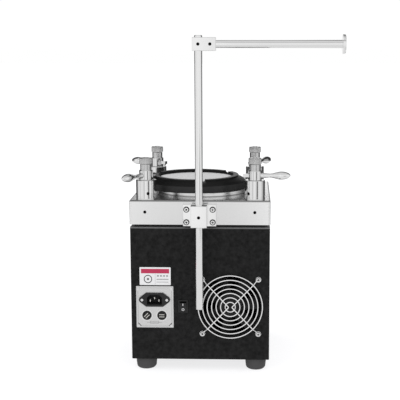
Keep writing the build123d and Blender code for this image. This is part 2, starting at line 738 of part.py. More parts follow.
with BuildPart() as motor_pulley:
    with BuildSketch(Plane.XZ.offset(-MOTOR_Y)):
        with BuildLine():
            Polyline(*pulley_outline(DRIVER_R, 0), close=True)
        make_face()
    revolve(axis=Axis((0, MOTOR_Y, 0), (0, 0, 1)))
    with BuildSketch(Plane.XY.offset(MOTOR_TOP + 1)):
        with Locations((0, MOTOR_Y)):
            Circle(MOTOR_SHAFT_R)
    extrude(amount=BELT_Z + TRACK_H + 6 - MOTOR_TOP)
motor_pulley.part.label = "motor_pulley"
export_step(motor_pulley.part, "parts/motor_pulley.step")

with BuildPart() as drive_belt:
    with BuildSketch(Plane.XY.offset(BELT_Z + 0.5)):
        Circle(DRIVEN_R + CLEAR + BELT_T)
        with Locations((0, MOTOR_Y)):
            Circle(DRIVER_R + CLEAR + BELT_T)
        make_hull()
    extrude(amount=TRACK_H - 1)
    with BuildSketch(Plane.XY.offset(BELT_Z + 0.5)):
        Circle(DRIVEN_R + CLEAR)
        with Locations((0, MOTOR_Y)):
            Circle(DRIVER_R + CLEAR)
        make_hull()
    extrude(amount=TRACK_H - 1, mode=Mode.SUBTRACT)
drive_belt.part.label = "drive_belt"
export_step(drive_belt.part, "parts/drive_belt.step")

with BuildPart() as motor:
    with BuildSketch(Plane.XY.offset(MOTOR_BOTTOM)):
        with Locations((0, MOTOR_Y)):
            Circle(MOTOR_R)
    extrude(amount=MOTOR_TOP - MOTOR_BOTTOM)
    fillet(motor.edges().group_by(Axis.Z)[0], 3)
    with BuildSketch(Plane.XY.offset(MOTOR_TOP)):
        with Locations((0, MOTOR_Y)):
            RectangleRounded(80, 80, 8)
    extrude(amount=BRACKET_Z - MOTOR_TOP)
    with BuildSketch(Plane.XY.offset(MOTOR_TOP)):
        with Locations((0, MOTOR_Y)):
            Circle(MOTOR_SHAFT_R + FIT)
    extrude(amount=BRACKET_Z - MOTOR_TOP, mode=Mode.SUBTRACT)
motor.part.label = "motor"
export_step(motor.part, "parts/motor.step")

with BuildPart() as motor_bracket:
    with BuildSketch(Plane.XZ.offset(-MOTOR_Y - BRACKET_LEN / 2)):
        with BuildLine():
            Polyline(
                (BRACKET_HALF + BRACKET_FOOT, LEDGE_Z),
                (BRACKET_HALF - BRACKET_T, LEDGE_Z),
                (BRACKET_HALF - BRACKET_T, BRACKET_Z + BRACKET_T),
                (-BRACKET_HALF + BRACKET_T, BRACKET_Z + BRACKET_T),
                (-BRACKET_HALF + BRACKET_T, LEDGE_Z),
                (-BRACKET_HALF - BRACKET_FOOT, LEDGE_Z),
                (-BRACKET_HALF - BRACKET_FOOT, LEDGE_Z - BRACKET_T),
                (-BRACKET_HALF, LEDGE_Z - BRACKET_T),
                (-BRACKET_HALF, BRACKET_Z),
                (BRACKET_HALF, BRACKET_Z),
                (BRACKET_HALF, LEDGE_Z - BRACKET_T),
                (BRACKET_HALF + BRACKET_FOOT, LEDGE_Z - BRACKET_T),
                close=True,
            )
        make_face()
    extrude(amount=BRACKET_LEN)
    with BuildSketch(Plane.XY.offset(BRACKET_Z)):
        with Locations((0, MOTOR_Y)):
            Circle(MOTOR_SHAFT_R + 1)
    extrude(amount=BRACKET_T, mode=Mode.SUBTRACT)
motor_bracket.part.label = "motor_bracket"
export_step(motor_bracket.part, "parts/motor_bracket.step")

# ---- motor controller board ------------------------------------------------------------------------
BOARD_X, BOARD_Y, BOARD_Z = -58.0, 20.0, 30.0
BOARD_W, BOARD_L, BOARD_T = 74.0, 120.0, 1.6

with BuildPart() as control_board:
    with BuildSketch(Plane.XY.offset(BOARD_Z)):
        with Locations((BOARD_X, BOARD_Y)):
            Rectangle(BOARD_W, BOARD_L)
    extrude(amount=BOARD_T)
    with BuildSketch(Plane.XY.offset(FOOT_H + BASE_T)):
        with Locations((BOARD_X, BOARD_Y)):
            with GridLocations(BOARD_W - 10, BOARD_L - 10, 2, 2):
                Circle(3)
    extrude(amount=BOARD_Z - FOOT_H - BASE_T)
    with BuildSketch(Plane.XY.offset(BOARD_Z + BOARD_T)):
        with Locations((BOARD_X + 12, BOARD_Y + 28)):
            Rectangle(36, 32)
        with Locations((BOARD_X - 22, BOARD_Y)):
            Rectangle(8, 80)
    extrude(amount=28)
    with BuildSketch(Plane.XY.offset(BOARD_Z + BOARD_T)):
        with Locations((BOARD_X + 12, BOARD_Y - 26)):
            with GridLocations(20, 20, 2, 2):
                Circle(8)
    extrude(amount=24)
control_board.part.label = "control_board"
export_step(control_board.part, "parts/control_board.step")

# ---- cooling fan and wire guard --------------------------------------------------------------------
FAN_Y = -HALF + SHEET  # outer face of the fan
FAN_MID = (FAN_X, FAN_Z)
HUB_DISC_R = 21.0
ROTOR_HUB_R = 19.5
BLADE_R = 46.0
BLADES = 7
BLADE_PITCH = 40.0
STRUT_T = 3.0
GUARD_Y = -HALF - 3.0
SPOKE_Y = GUARD_Y - 1.7
LOOP_R = 3.7
VERTEX = 2.4

with BuildPart() as fan_frame:
    with BuildSketch(out_plane(FAN_Y)):
        with Locations(FAN_MID):
            RectangleRounded(FAN_SIDE, FAN_SIDE, 5)
            Circle(FAN_HOLE_R, mode=Mode.SUBTRACT)
            with GridLocations(FAN_PITCH, FAN_PITCH, 2, 2):
                Circle(FAN_SCREW_R, mode=Mode.SUBTRACT)
    extrude(amount=-FAN_DEPTH)
    with BuildSketch(out_plane(FAN_Y + FAN_DEPTH)):
        with Locations(FAN_MID):
            Circle(HUB_DISC_R)
            with PolarLocations(0, 2):
                Rectangle(2 * FAN_HOLE_R + 2, 5, rotation=45)
    extrude(amount=STRUT_T)
    with BuildSketch(out_plane(FAN_Y + FAN_DEPTH - STRUT_T)):
        with Locations(FAN_MID):
            Circle(3)
    extrude(amount=12)
fan_frame.part.label = "fan_frame"
export_step(fan_frame.part, "parts/fan_frame.step")


def blade_section(angle, reach, chord, thick):
    """A tilted blade section, square to the radius at angle and reach from the fan's axis."""
    radial = (cos(radians(angle)), 0, sin(radians(angle)))
    middle = (FAN_X + reach * radial[0], FAN_Y + FAN_DEPTH / 2 - 2.5, FAN_Z + reach * radial[2])
    with BuildSketch(Plane(origin=middle, x_dir=(0, 1, 0), z_dir=radial)) as section:
        Rectangle(chord, thick, rotation=90 - BLADE_PITCH)
    return section.sketch


with BuildPart() as fan_rotor:
    with BuildSketch(out_plane(FAN_Y + 2.5)):
        with Locations(FAN_MID):
            Circle(ROTOR_HUB_R)
    extrude(amount=-(FAN_DEPTH - STRUT_T - 3.5))
    fillet(fan_rotor.edges().group_by(Axis.Y)[0], 2)
    for blade in range(BLADES):
        blade_angle = 360 / BLADES * blade
        add(blade_section(blade_angle, ROTOR_HUB_R - 2, 18, 2.0))
        add(blade_section(blade_angle + 6, BLADE_R, 23, 1.6))
        loft()
    with BuildSketch(out_plane(FAN_Y + FAN_DEPTH - STRUT_T)):
        with Locations(FAN_MID):
            Circle(3 + CLEAR)
    extrude(amount=12 + CLEAR, mode=Mode.SUBTRACT)
fan_rotor.part.label = "fan_rotor"
export_step(fan_rotor.part, "parts/fan_rotor.step")

with BuildPart() as fan_guard:
    for ring_r in GUARD_RINGS:
        with BuildSketch(Plane.XY.offset(FAN_Z)):
            with Locations((FAN_X + ring_r, GUARD_Y)):
                Circle(WIRE_R)
        revolve(axis=Axis((FAN_X, GUARD_Y, FAN_Z), (0, 1, 0)))
    loop_y = -HALF - WIRE_R
    loop_end = FAN_PITCH / 2 - LOOP_R * cos(radians(45))
    for side in (-1, 1):
        with BuildLine():
            spoke = FilletPolyline(
                (FAN_X + side * loop_end, loop_y, FAN_Z + loop_end),
                (FAN_X + side * (loop_end - 2), loop_y, FAN_Z + loop_end - 2),
                (FAN_X + side * (loop_end - 5.5), SPOKE_Y, FAN_Z + loop_end - 5.5),
                (FAN_X + side * VERTEX, SPOKE_Y, FAN_Z),
                (FAN_X + side * (loop_end - 5.5), SPOKE_Y, FAN_Z - loop_end + 5.5),
                (FAN_X + side * (loop_end - 2), loop_y, FAN_Z - loop_end + 2),
                (FAN_X + side * loop_end, loop_y, FAN_Z - loop_end),
                radius=1.6,
            )
        with BuildSketch(Plane(origin=spoke @ 0, z_dir=spoke % 0)):
            Circle(WIRE_R)
        sweep(path=spoke)
        for height in (-1, 1):
            loop_x = FAN_X + side * FAN_PITCH / 2
            loop_z = FAN_Z + height * FAN_PITCH / 2
            with BuildSketch(Plane.XY.offset(loop_z)):
                with Locations((loop_x + LOOP_R, loop_y)):
                    Circle(WIRE_R)
            revolve(axis=Axis((loop_x, loop_y, loop_z), (0, 1, 0)))
fan_guard.part.label = "fan_guard"
export_step(fan_guard.part, "parts/fan_guard.step")

# ---- mains inlet, fuses and rocker switch ----------------------------------------------------------
INLET_T = 1.5
INLET_FACE = -HALF - INLET_T
SOCKET_FACE = INLET_FACE - 2.2
SOCKET_W, SOCKET_H = 50.0, 22.6
SOCKET_SCREW_X = 20.0
CAVITY_W, CAVITY_H, CAVITY_DEPTH = 24.2, 16.2, 16.0
PIN_PLACES = ((-7.0, -1.8), (7.0, -1.8), (0.0, 2.4))
PIN_W, PIN_H = 2.0, 4.0
SOCKET_DEPTH = 22.0
FUSE_RING_R = 7.6
FUSE_CAP_R = 5.4

with BuildPart() as inlet_plate:
    with BuildSketch(out_plane(-HALF)):
        with Locations((INLET_X, INLET_Z)):
            RectangleRounded(INLET_W, INLET_H, 1.2)
            with GridLocations(2 * PLATE_SCREW_X, 2 * PLATE_SCREW_Z, 2, 2):
                Circle(SMALL_SCREW_R, mode=Mode.SUBTRACT)
        with Locations((SOCKET_X, SOCKET_Z)):
            Rectangle(SOCKET_BODY_W, SOCKET_BODY_H, mode=Mode.SUBTRACT)
            with Locations((-SOCKET_SCREW_X, 0), (SOCKET_SCREW_X, 0)):
                Circle(SMALL_SCREW_R, mode=Mode.SUBTRACT)
        with Locations(*[(x, FUSE_Z) for x in FUSE_XS]):
            Circle(FUSE_BODY_R, mode=Mode.SUBTRACT)
    extrude(amount=INLET_T)
    chamfer(inlet_plate.faces().sort_by(Axis.Y)[0].outer_wire().edges(), 0.4)
inlet_plate.part.label = "inlet_plate"
export_step(inlet_plate.part, "parts/inlet_plate.step")

with BuildPart() as inlet_socket:
    with BuildSketch(out_plane(INLET_FACE)):
        with Locations((SOCKET_X, SOCKET_Z)):
            Rectangle(SOCKET_BODY_W, SOCKET_H)
            with Locations((-SOCKET_SCREW_X, 0), (SOCKET_SCREW_X, 0)):
                Circle(SOCKET_W / 2 - SOCKET_SCREW_X)
            make_hull()
            with Locations((-SOCKET_SCREW_X, 0), (SOCKET_SCREW_X, 0)):
                Circle(SMALL_SCREW_R, mode=Mode.SUBTRACT)
    extrude(amount=INLET_FACE - SOCKET_FACE)
    with BuildSketch(out_plane(INLET_FACE)):
        with Locations((SOCKET_X, SOCKET_Z)):
            Rectangle(SOCKET_BODY_W, SOCKET_BODY_H)
    extrude(amount=-SOCKET_DEPTH)
    with BuildSketch(out_plane(SOCKET_FACE)):
        with Locations((SOCKET_X, SOCKET_Z)):
            Rectangle(CAVITY_W, CAVITY_H)
            top_corners = [(-CAVITY_W / 2, CAVITY_H / 2), (CAVITY_W / 2, CAVITY_H / 2)]
            with Locations(*top_corners):
                Rectangle(6.4, 6.4, rotation=45, mode=Mode.SUBTRACT)
    extrude(amount=-CAVITY_DEPTH, mode=Mode.SUBTRACT)
inlet_socket.part.label = "inlet_socket"
export_step(inlet_socket.part, "parts/inlet_socket.step")

with BuildPart() as inlet_pins:
    with BuildSketch(out_plane(SOCKET_FACE + CAVITY_DEPTH)):
        with Locations((SOCKET_X, SOCKET_Z)):
            with Locations(*PIN_PLACES):
                Rectangle(PIN_W, PIN_H)
    extrude(amount=CAVITY_DEPTH - 2)
    chamfer(inlet_pins.faces().group_by(Axis.Y)[0].edges(), 0.5)
inlet_pins.part.label = "inlet_pins"
export_step(inlet_pins.part, "parts/inlet_pins.step")

with BuildPart() as fuse_holders:
    with BuildSketch(out_plane(INLET_FACE)):
        with Locations(*[(x, FUSE_Z) for x in FUSE_XS]):
            Circle(FUSE_RING_R)
    extrude(amount=1.6)
    chamfer(fuse_holders.faces().sort_by(Axis.Y)[:2].edges(), 0.5)
    with BuildSketch(out_plane(INLET_FACE)):
        with Locations(*[(x, FUSE_Z) for x in FUSE_XS]):
            Circle(FUSE_BODY_R)
    extrude(amount=-24)
    with BuildSketch(out_plane(INLET_FACE - 1.6)):
        with Locations(*[(x, FUSE_Z) for x in FUSE_XS]):
            Circle(FUSE_CAP_R + CLEAR)
    extrude(amount=-6, mode=Mode.SUBTRACT)
fuse_holders.part.label = "fuse_holders"
export_step(fuse_holders.part, "parts/fuse_holders.step")

for name, fuse_x, slot_angle in (("fuse_cap_left", FUSE_XS[0], -45), ("fuse_cap_right", FUSE_XS[1], 0)):
    with BuildPart() as fuse_cap:
        with BuildSketch(out_plane(INLET_FACE + 4)):
            with Locations((fuse_x, FUSE_Z)):
                Circle(FUSE_CAP_R)
        extrude(amount=4 + 2.8)
        fillet(fuse_cap.edges().group_by(Axis.Y)[0], 0.6)
        with BuildSketch(out_plane(INLET_FACE - 2.8)):
            with Locations((fuse_x, FUSE_Z)):
                Rectangle(2 * FUSE_CAP_R, 1.8, rotation=slot_angle)
        extrude(amount=-1.6, mode=Mode.SUBTRACT)
    fuse_cap.part.label = name
    export_step(fuse_cap.part, f"parts/{name}.step")

ROCKER_W, ROCKER_H = 16.0, 21.0
KEY_W, KEY_H = 10.4, 15.6
KEY_TILT = 9.0
ROCKER_FACE = -HALF - 2.0
KEY_PIVOT_Y = -HALF + 2.0

with BuildPart() as rocker_frame:
    with BuildSketch(out_plane(-HALF)):
        with Locations((ROCKER_X, ROCKER_Z)):
            RectangleRounded(ROCKER_W, ROCKER_H, 1.2)
    extrude(amount=2)
    chamfer(rocker_frame.faces().sort_by(Axis.Y)[0].edges(), 0.6)
    with BuildSketch(out_plane(-HALF)):
        with Locations((ROCKER_X, ROCKER_Z)):
            Rectangle(ROCKER_BODY_W, ROCKER_BODY_H)
    extrude(amount=-16)
    with BuildSketch(out_plane(ROCKER_FACE)):
        with Locations((ROCKER_X, ROCKER_Z)):
            Rectangle(KEY_W + 2 * CLEAR, KEY_H + 1.4)
    extrude(amount=-13, mode=Mode.SUBTRACT)
rocker_frame.part.label = "rocker_frame"
export_step(rocker_frame.part, "parts/rocker_frame.step")

with BuildPart() as rocker_key:
    key_dir = (0, cos(radians(KEY_TILT)), sin(radians(KEY_TILT)))
    key_pivot = (ROCKER_X - KEY_W / 2, KEY_PIVOT_Y, ROCKER_Z)
    with BuildSketch(Plane(origin=key_pivot, x_dir=key_dir, z_dir=(1, 0, 0))):
        with BuildLine():
            face_line = ThreePointArc((-5.6, -KEY_H / 2 + 0.4), (-4.4, 0), (-5.6, KEY_H / 2 - 0.4))
            Polyline(face_line @ 1, (2.2, 3.4), (4.6, 0), (2.2, -3.4), face_line @ 0)
        make_face()
    extrude(amount=KEY_W)
rocker_key.part.label = "rocker_key"
export_step(rocker_key.part, "parts/rocker_key.step")

# ---- hanger mast at the back -----------------------------------------------------------------------
PLATE_X = 26.2
PLATE_LOW, PLATE_HIGH = 240.4, 275.2
PLATE_Y = -HALF - 6.0
BLOCK_X = 12.5
BLOCK_LOW, BLOCK_HIGH = 242.0, 276.5
BLOCK_Y = MAST_Y - 12.0
BRACKET_GRUB_Z = 258.6
CROSS_LOW_X, CROSS_HIGH_X = -9.0, 27.0
CROSS_LOW, CROSS_HIGH = 513.6, 533.9
CROSS_HALF_Y = 9.0
CROSS_GRUB_XS = (0.0, 18.0)
DISC_R = 14.2
DISC_T = 4.2

with BuildPart() as rod_bracket:
    with BuildSketch(out_plane(-HALF)):
        with Locations((0, (PLATE_LOW + PLATE_HIGH) / 2)):
            Rectangle(2 * PLATE_X, PLATE_HIGH - PLATE_LOW)
        with Locations(*[(s * BRACKET_SCREW_X, z) for s in (-1, 1) for z in BRACKET_SCREW_ZS]):
            Circle(SCREW_R + CLEAR, mode=Mode.SUBTRACT)
    extrude(amount=-HALF - PLATE_Y)
    chamfer(rod_bracket.faces().sort_by(Axis.Y)[0].outer_wire().edges(), 0.5)
    with BuildSketch(out_plane(PLATE_Y)):
        with Locations((0, (BLOCK_LOW + BLOCK_HIGH) / 2)):
            Rectangle(2 * BLOCK_X, BLOCK_HIGH - BLOCK_LOW)
    extrude(amount=PLATE_Y - BLOCK_Y)
    chamfer(rod_bracket.faces().sort_by(Axis.Y)[0].edges(), 0.8)
    with BuildSketch(Plane.XY.offset(BLOCK_LOW)):
        with Locations((0, MAST_Y)):
            Circle(ROD_R + FIT)
    extrude(amount=BLOCK_HIGH - BLOCK_LOW, mode=Mode.SUBTRACT)
    with BuildSketch(out_plane(BLOCK_Y)):
        with Locations((0, BRACKET_GRUB_Z)):
            Circle(GRUB_R)
    extrude(amount=-(MAST_Y - BLOCK_Y), mode=Mode.SUBTRACT)
rod_bracket.part.label = "rod_bracket"
export_step(rod_bracket.part, "parts/rod_bracket.step")

with BuildPart() as stand_rod:
    with BuildSketch(Plane.XY.offset(MAST_BOTTOM)):
        with Locations((0, MAST_Y)):
            Circle(ROD_R)
    extrude(amount=MAST_TOP - MAST_BOTTOM)
    chamfer(stand_rod.edges().filter_by(GeomType.CIRCLE), 0.7)
stand_rod.part.label = "stand_rod"
export_step(stand_rod.part, "parts/stand_rod.step")

with BuildPart() as cross_block:
    with BuildSketch(Plane.XY.offset(CROSS_LOW)):
        with Locations(((CROSS_LOW_X + CROSS_HIGH_X) / 2, MAST_Y)):
            Rectangle(CROSS_HIGH_X - CROSS_LOW_X, 2 * CROSS_HALF_Y)
    extrude(amount=CROSS_HIGH - CROSS_LOW)
    chamfer(cross_block.edges(), 0.6)
    with BuildSketch(Plane.XY.offset(CROSS_LOW)):
        with Locations((0, MAST_Y)):
            Circle(ROD_R + FIT)
    extrude(amount=CROSS_HIGH - CROSS_LOW, mode=Mode.SUBTRACT)
    with BuildSketch(Plane.YZ.offset(CROSS_HIGH_X)):
        with Locations((MAST_Y, ARM_Z)):
            Circle(ROD_R + FIT)
    extrude(amount=-(CROSS_HIGH_X - ROD_R - 2.5), mode=Mode.SUBTRACT)
    with BuildSketch(out_plane(MAST_Y - CROSS_HALF_Y)):
        with Locations(*[(x, ARM_Z) for x in CROSS_GRUB_XS]):
            Circle(GRUB_R)
    extrude(amount=-CROSS_HALF_Y, mode=Mode.SUBTRACT)
cross_block.part.label = "cross_block"
export_step(cross_block.part, "parts/cross_block.step")

with BuildPart() as hanger_arm:
    with BuildSketch(Plane.YZ.offset(ROD_R + 3)):
        with Locations((MAST_Y, ARM_Z)):
            Circle(ROD_R)
    extrude(amount=ARM_END - ROD_R - 3)
    with BuildSketch(Plane.YZ.offset(ARM_END)):
        with Locations((MAST_Y, ARM_Z)):
            Circle(DISC_R)
    extrude(amount=DISC_T)
    chamfer(hanger_arm.faces().sort_by(Axis.X)[-1].edges(), 0.6)
hanger_arm.part.label = "hanger_arm"
export_step(hanger_arm.part, "parts/hanger_arm.step")

# ---- fasteners -------------------------------------------------------------------------------------
GRUB_LEN = 5.0
BRACKET_GRUB_LEN = 2.4

with BuildPart() as grub_screws:
    for _, side_x, side_y, _, grub_angle in POSTS:
        grub_dir = (cos(radians(grub_angle)), sin(radians(grub_angle)), 0)
        grub_plane = Plane(origin=post_place(side_x, side_y, BASE_GRUB_Z), z_dir=grub_dir)
        with BuildSketch(grub_plane.offset(SHANK_R + 0.05)):
            Circle(GRUB_R)
        extrude(amount=GRUB_LEN)
        deck_plane = Plane(origin=post_place(side_x, side_y, DECK_GRUB_Z), z_dir=(0, side_y, 0))
        with BuildSketch(deck_plane.offset(SHANK_R + 0.05)):
            Circle(GRUB_R)
        extrude(amount=GRUB_LEN)
    with BuildSketch(out_plane(MAST_Y - ROD_R - CLEAR)):
        with Locations((0, BRACKET_GRUB_Z)):
            Circle(GRUB_R)
    extrude(amount=BRACKET_GRUB_LEN)
grub_screws.part.label = "grub_screws"
export_step(grub_screws.part, "parts/grub_screws.step")


def pan_screw(head_r, head_h, length, shank_r):
    """A cross-recessed pan-head screw with its seat at the origin and its head towards +Z."""
    with BuildPart() as screw:
        with BuildSketch():
            Circle(head_r)
        extrude(amount=head_h, taper=14)
        with BuildSketch(Plane.XY.offset(head_h)):
            Rectangle(head_r, head_r * 0.22)
            Rectangle(head_r * 0.22, head_r)
        extrude(amount=-head_h * 0.55, mode=Mode.SUBTRACT)
        with BuildSketch():
            Circle(shank_r)
        extrude(amount=-length)
    return screw.part


def facing_back(x, y, z):
    return Location(Plane(origin=(x, y, z), x_dir=(1, 0, 0), z_dir=(0, -1, 0)))


def facing_down(x, y, z):
    return Location(Plane(origin=(x, y, z), x_dir=(1, 0, 0), z_dir=(0, 0, -1)))


SIDES = (-1, 1)
CORNERS = [(a, b) for a in SIDES for b in SIDES]
guard_places = [(FAN_X + a * FAN_PITCH / 2, FAN_Z + b * FAN_PITCH / 2) for a, b in CORNERS]
plate_places = [(INLET_X + a * PLATE_SCREW_X, INLET_Z + b * PLATE_SCREW_Z) for a, b in CORNERS]
bracket_places = [(a * BRACKET_SCREW_X, z) for a in SIDES for z in BRACKET_SCREW_ZS]
guard_screw = pan_screw(4.0, 2.4, 12, FAN_SCREW_R - 0.1)
bracket_screw = pan_screw(3.8, 2.2, 14, SCREW_R)
foot_screw = pan_screw(3.6, 2.4, 16, FOOT_SCREW_R)
plate_screw = pan_screw(2.5, 1.4, 5, SMALL_SCREW_R)

with BuildPart() as pan_screws:
    with Locations(*[facing_back(x, -HALF - 2 * WIRE_R, z) for x, z in guard_places]):
        add(guard_screw)
    with Locations(*[facing_back(x, PLATE_Y, z) for x, z in bracket_places]):
        add(bracket_screw)
    with Locations(*[facing_down(a * FOOT_XY, b * FOOT_XY, FOOT_SINK) for a, b in CORNERS]):
        add(foot_screw)
    with Locations(*[facing_back(x, INLET_FACE, z) for x, z in plate_places]):
        add(plate_screw)
    with Locations(*[facing_back(SOCKET_X + a * SOCKET_SCREW_X, SOCKET_FACE, SOCKET_Z) for a in SIDES]):
        add(plate_screw)
pan_screws.part.label = "pan_screws"
export_step(pan_screws.part, "parts/pan_screws.step")

# ---- controls at the front -------------------------------------------------------------------------
DIAL_R = 13.0
DIAL_H = 16.0
BUTTON_OUT = 4.0
BUTTON_IN = 6.0
DIAL_SHAFT = 14.0
DIAL_TAPER = 3.0

for name, button_x in (("start_button", BUTTON_XS[0]), ("stop_button", BUTTON_XS[1])):
    with BuildPart() as button:
        with BuildSketch(front_plane(HALF - SHEET - BUTTON_IN)):
            with Locations((-button_x, BUTTON_Z)):
                Circle(BUTTON_R)
        extrude(amount=SHEET + BUTTON_IN + BUTTON_OUT)
        fillet(button.edges().group_by(Axis.Y)[-1], 1.2)
    button.part.label = name
    export_step(button.part, f"parts/{name}.step")

with BuildPart() as speed_dial:
    with BuildSketch(front_plane(HALF + CLEAR)):
        with Locations((-DIAL_X, DIAL_Z)):
            Circle(DIAL_R)
    extrude(amount=DIAL_H, taper=DIAL_TAPER)
    fillet(speed_dial.edges().group_by(Axis.Y)[-1], 1.5)
    with BuildSketch(front_plane(HALF - DIAL_SHAFT)):
        with Locations((-DIAL_X, DIAL_Z)):
            Circle(DIAL_SHAFT_R)
    extrude(amount=DIAL_SHAFT + CLEAR)
speed_dial.part.label = "speed_dial"
export_step(speed_dial.part, "parts/speed_dial.step")
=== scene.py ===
"""Looks for the bench lapping machine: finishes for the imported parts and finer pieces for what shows.
Metres, in the frame's own axes: +Z up, the mast and the fan at the back, -Y."""

import json
import math

import bmesh
import bpy
from mathutils import Matrix, Vector


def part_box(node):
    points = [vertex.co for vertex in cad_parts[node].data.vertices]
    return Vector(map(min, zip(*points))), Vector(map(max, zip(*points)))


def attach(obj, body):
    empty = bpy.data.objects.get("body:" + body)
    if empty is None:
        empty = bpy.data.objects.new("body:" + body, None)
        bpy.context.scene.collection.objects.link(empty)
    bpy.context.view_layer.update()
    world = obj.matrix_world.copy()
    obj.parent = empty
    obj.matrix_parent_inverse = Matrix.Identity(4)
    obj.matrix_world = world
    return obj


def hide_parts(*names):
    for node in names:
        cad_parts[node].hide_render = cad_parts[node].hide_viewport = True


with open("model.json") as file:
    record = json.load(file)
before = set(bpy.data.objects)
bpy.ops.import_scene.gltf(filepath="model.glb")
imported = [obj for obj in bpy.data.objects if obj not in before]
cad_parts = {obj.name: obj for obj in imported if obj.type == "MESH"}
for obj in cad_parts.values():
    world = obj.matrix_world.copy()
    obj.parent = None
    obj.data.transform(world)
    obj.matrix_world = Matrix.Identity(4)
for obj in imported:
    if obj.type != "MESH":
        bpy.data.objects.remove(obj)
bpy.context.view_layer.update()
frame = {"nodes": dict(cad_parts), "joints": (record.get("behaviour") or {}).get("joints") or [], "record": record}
MM = 0.001
NECK_HEIGHT = 9.3 * MM   # duller neck at the top of a press head
LIP_RISE = 9.6 * MM      # from the corner over the ring's skirt to the top of its lip
DECK_EDGE_SHADE = 2.4 * MM          # reach of the painted dark reflection along the deck's bent top edge
INK = 0.06 * MM          # how far print stands proud
FLUSH = 0.02 * MM        # how far an inlaid mark stands proud
FILM = 0.01 * MM         # grain depth of printed film and glass
BRUSH = 0.02 * MM        # depth of brushed and turned lines
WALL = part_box("rear_panel")[0].y


# ---- shader arithmetic -----------------------------------------------------------------------------
class Value:
    """A socket of a node tree. Plain arithmetic on it adds the Math nodes."""

    def __init__(self, graph, socket):
        self.graph = graph
        self.socket = socket

    def math(self, operation, *others, clamp=False):
        inputs = dict(enumerate((self, *others)))
        settings = {"operation": operation, "use_clamp": clamp}
        return self.graph.node("ShaderNodeMath", settings, inputs)

    def __add__(self, other):
        return self.math("ADD", other)

    def __mul__(self, other):
        return self.math("MULTIPLY", other)

    def __sub__(self, other):
        return self.math("SUBTRACT", other)

    def __rsub__(self, other):
        return self.graph.node("ShaderNodeMath", {"operation": "SUBTRACT"}, {0: other, 1: self})

    def __truediv__(self, other):
        return self.math("DIVIDE", other)

    __radd__ = __add__
    __rmul__ = __mul__

    def over(self, edge, soft):
        """0 below edge and 1 above it, with a ramp soft wide between."""
        return ((self - edge) * (1 / soft)).math("ADD", 0.5, clamp=True)


class Graph:
    """A node tree. node() makes any node; the other methods are patterns that the finishes share."""

    def __init__(self, tree):
        self.tree = tree
        tree.nodes.clear()

    def node(self, kind, settings=None, inputs=None, output=0):
        """A node of that type. Its settings are set first, then the values or links of its sockets."""
        made = self.tree.nodes.new(kind)
        for key, value in (settings or {}).items():
            setattr(made, key, value)
        for key, value in (inputs or {}).items():
            if isinstance(value, Value):
                self.tree.links.new(value.socket, made.inputs[key])
            else:
                made.inputs[key].default_value = value
        return None if output is None else Value(self, made.outputs[output])

    def place(self, stretch=(1, 1, 1)):
        """The point on the piece, in metres times stretch."""
        at = self.node("ShaderNodeTexCoord", output="Object")
        inputs = {"Vector": at, "Scale": stretch}
        return self.node("ShaderNodeMapping", {"vector_type": "POINT"}, inputs)

    def axes(self, at):
        """The x, y and z of a point or a direction."""
        return [self.node("ShaderNodeSeparateXYZ", {}, {0: at}, output=axis) for axis in range(3)]

    def noise(self, scale, detail=3.0, rough=0.55, stretch=(1, 1, 1)):
        inputs = {"Vector": self.place(stretch), "Scale": scale, "Detail": detail, "Roughness": rough}
        return self.node("ShaderNodeTexNoise", {}, inputs)

    def tint(self, factor, first, second):
        """A colour between first and second, each a colour or a Value."""
        ends = [end if isinstance(end, Value) else (*end, 1) for end in (first, second)]
        settings = {"data_type": "RGBA", "clamp_factor": True}
        return self.node("ShaderNodeMix", settings, {0: factor, 6: ends[0], 7: ends[1]}, output=2)

    def bump(self, height, depth, strength):
        """A normal from a height in 0..1 that stands depth metres high."""
        inputs = {"Height": height, "Distance": depth, "Strength": strength}
        return self.node("ShaderNodeBump", {}, inputs)


class Finish(Graph):
    """One material."""

    def __init__(self, name):
        self.material = bpy.data.materials.new(name)
        self.material.use_nodes = True
        super().__init__(self.material.node_tree)

    def surface(self, **inputs):
        sockets = {}
        for key, value in inputs.items():
            sockets[key.replace("_", " ").title().replace("Ior", "IOR")] = value
        shader = self.node("ShaderNodeBsdfPrincipled", {}, sockets)
        self.node("ShaderNodeOutputMaterial", {}, {"Surface": shader}, output=None)
        return self.material


def grey(level):
    """A neutral colour for paint, plastic and rubber, a trace cool."""
    return (level, level, level * 1.01)


def even(level):
    """A neutral colour for bare metal."""
    return (level, level, level)


def case_paint():
    """Fine textured black powder coat, mottled where it is thicker, with a painted highlight along its top bends.
    """
    f = Finish("case_paint")
    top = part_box("rear_panel")[1].z
    # painted highlight: the top 1.6 mm of the case is painted paler, as light catching its top bends
    painted_top_highlight = f.axes(f.place())[2].over(top - 1.6 * MM, 1.6 * MM)
    grain = f.noise(900, 2.0)
    patch = f.noise(160, 4.0)
    coat = f.tint((grain * 0.35 + patch * 0.65).over(0.5, 0.34), grey(0.0005), grey(0.014))
    return f.surface(
        base_color=f.tint(painted_top_highlight * 0.8, coat, grey(0.16)),
        roughness=patch * 0.16 + 0.5,
        specular_ior_level=0.14,
        normal=f.bump(grain, 0.25 * MM, 0.9),
    )


def steel(name, colour, rough, grain, spread, stretch, wear=0.06, shine=0.3):
    """Bare metal, brushed along the axes that stretch leaves at 1."""
    f = Finish(name)
    lines = f.noise(grain, 3.0, 0.6, stretch=stretch)
    cloud = f.noise(22, 3.0)
    dark = tuple(c * (1 - wear) for c in colour)
    return f.surface(
        base_color=f.tint(lines * 0.6 + cloud * 0.4, dark, colour),
        metallic=1.0,
        roughness=lines * spread + cloud * 0.04 + rough,
        normal=f.bump(lines, BRUSH, shine),
    )


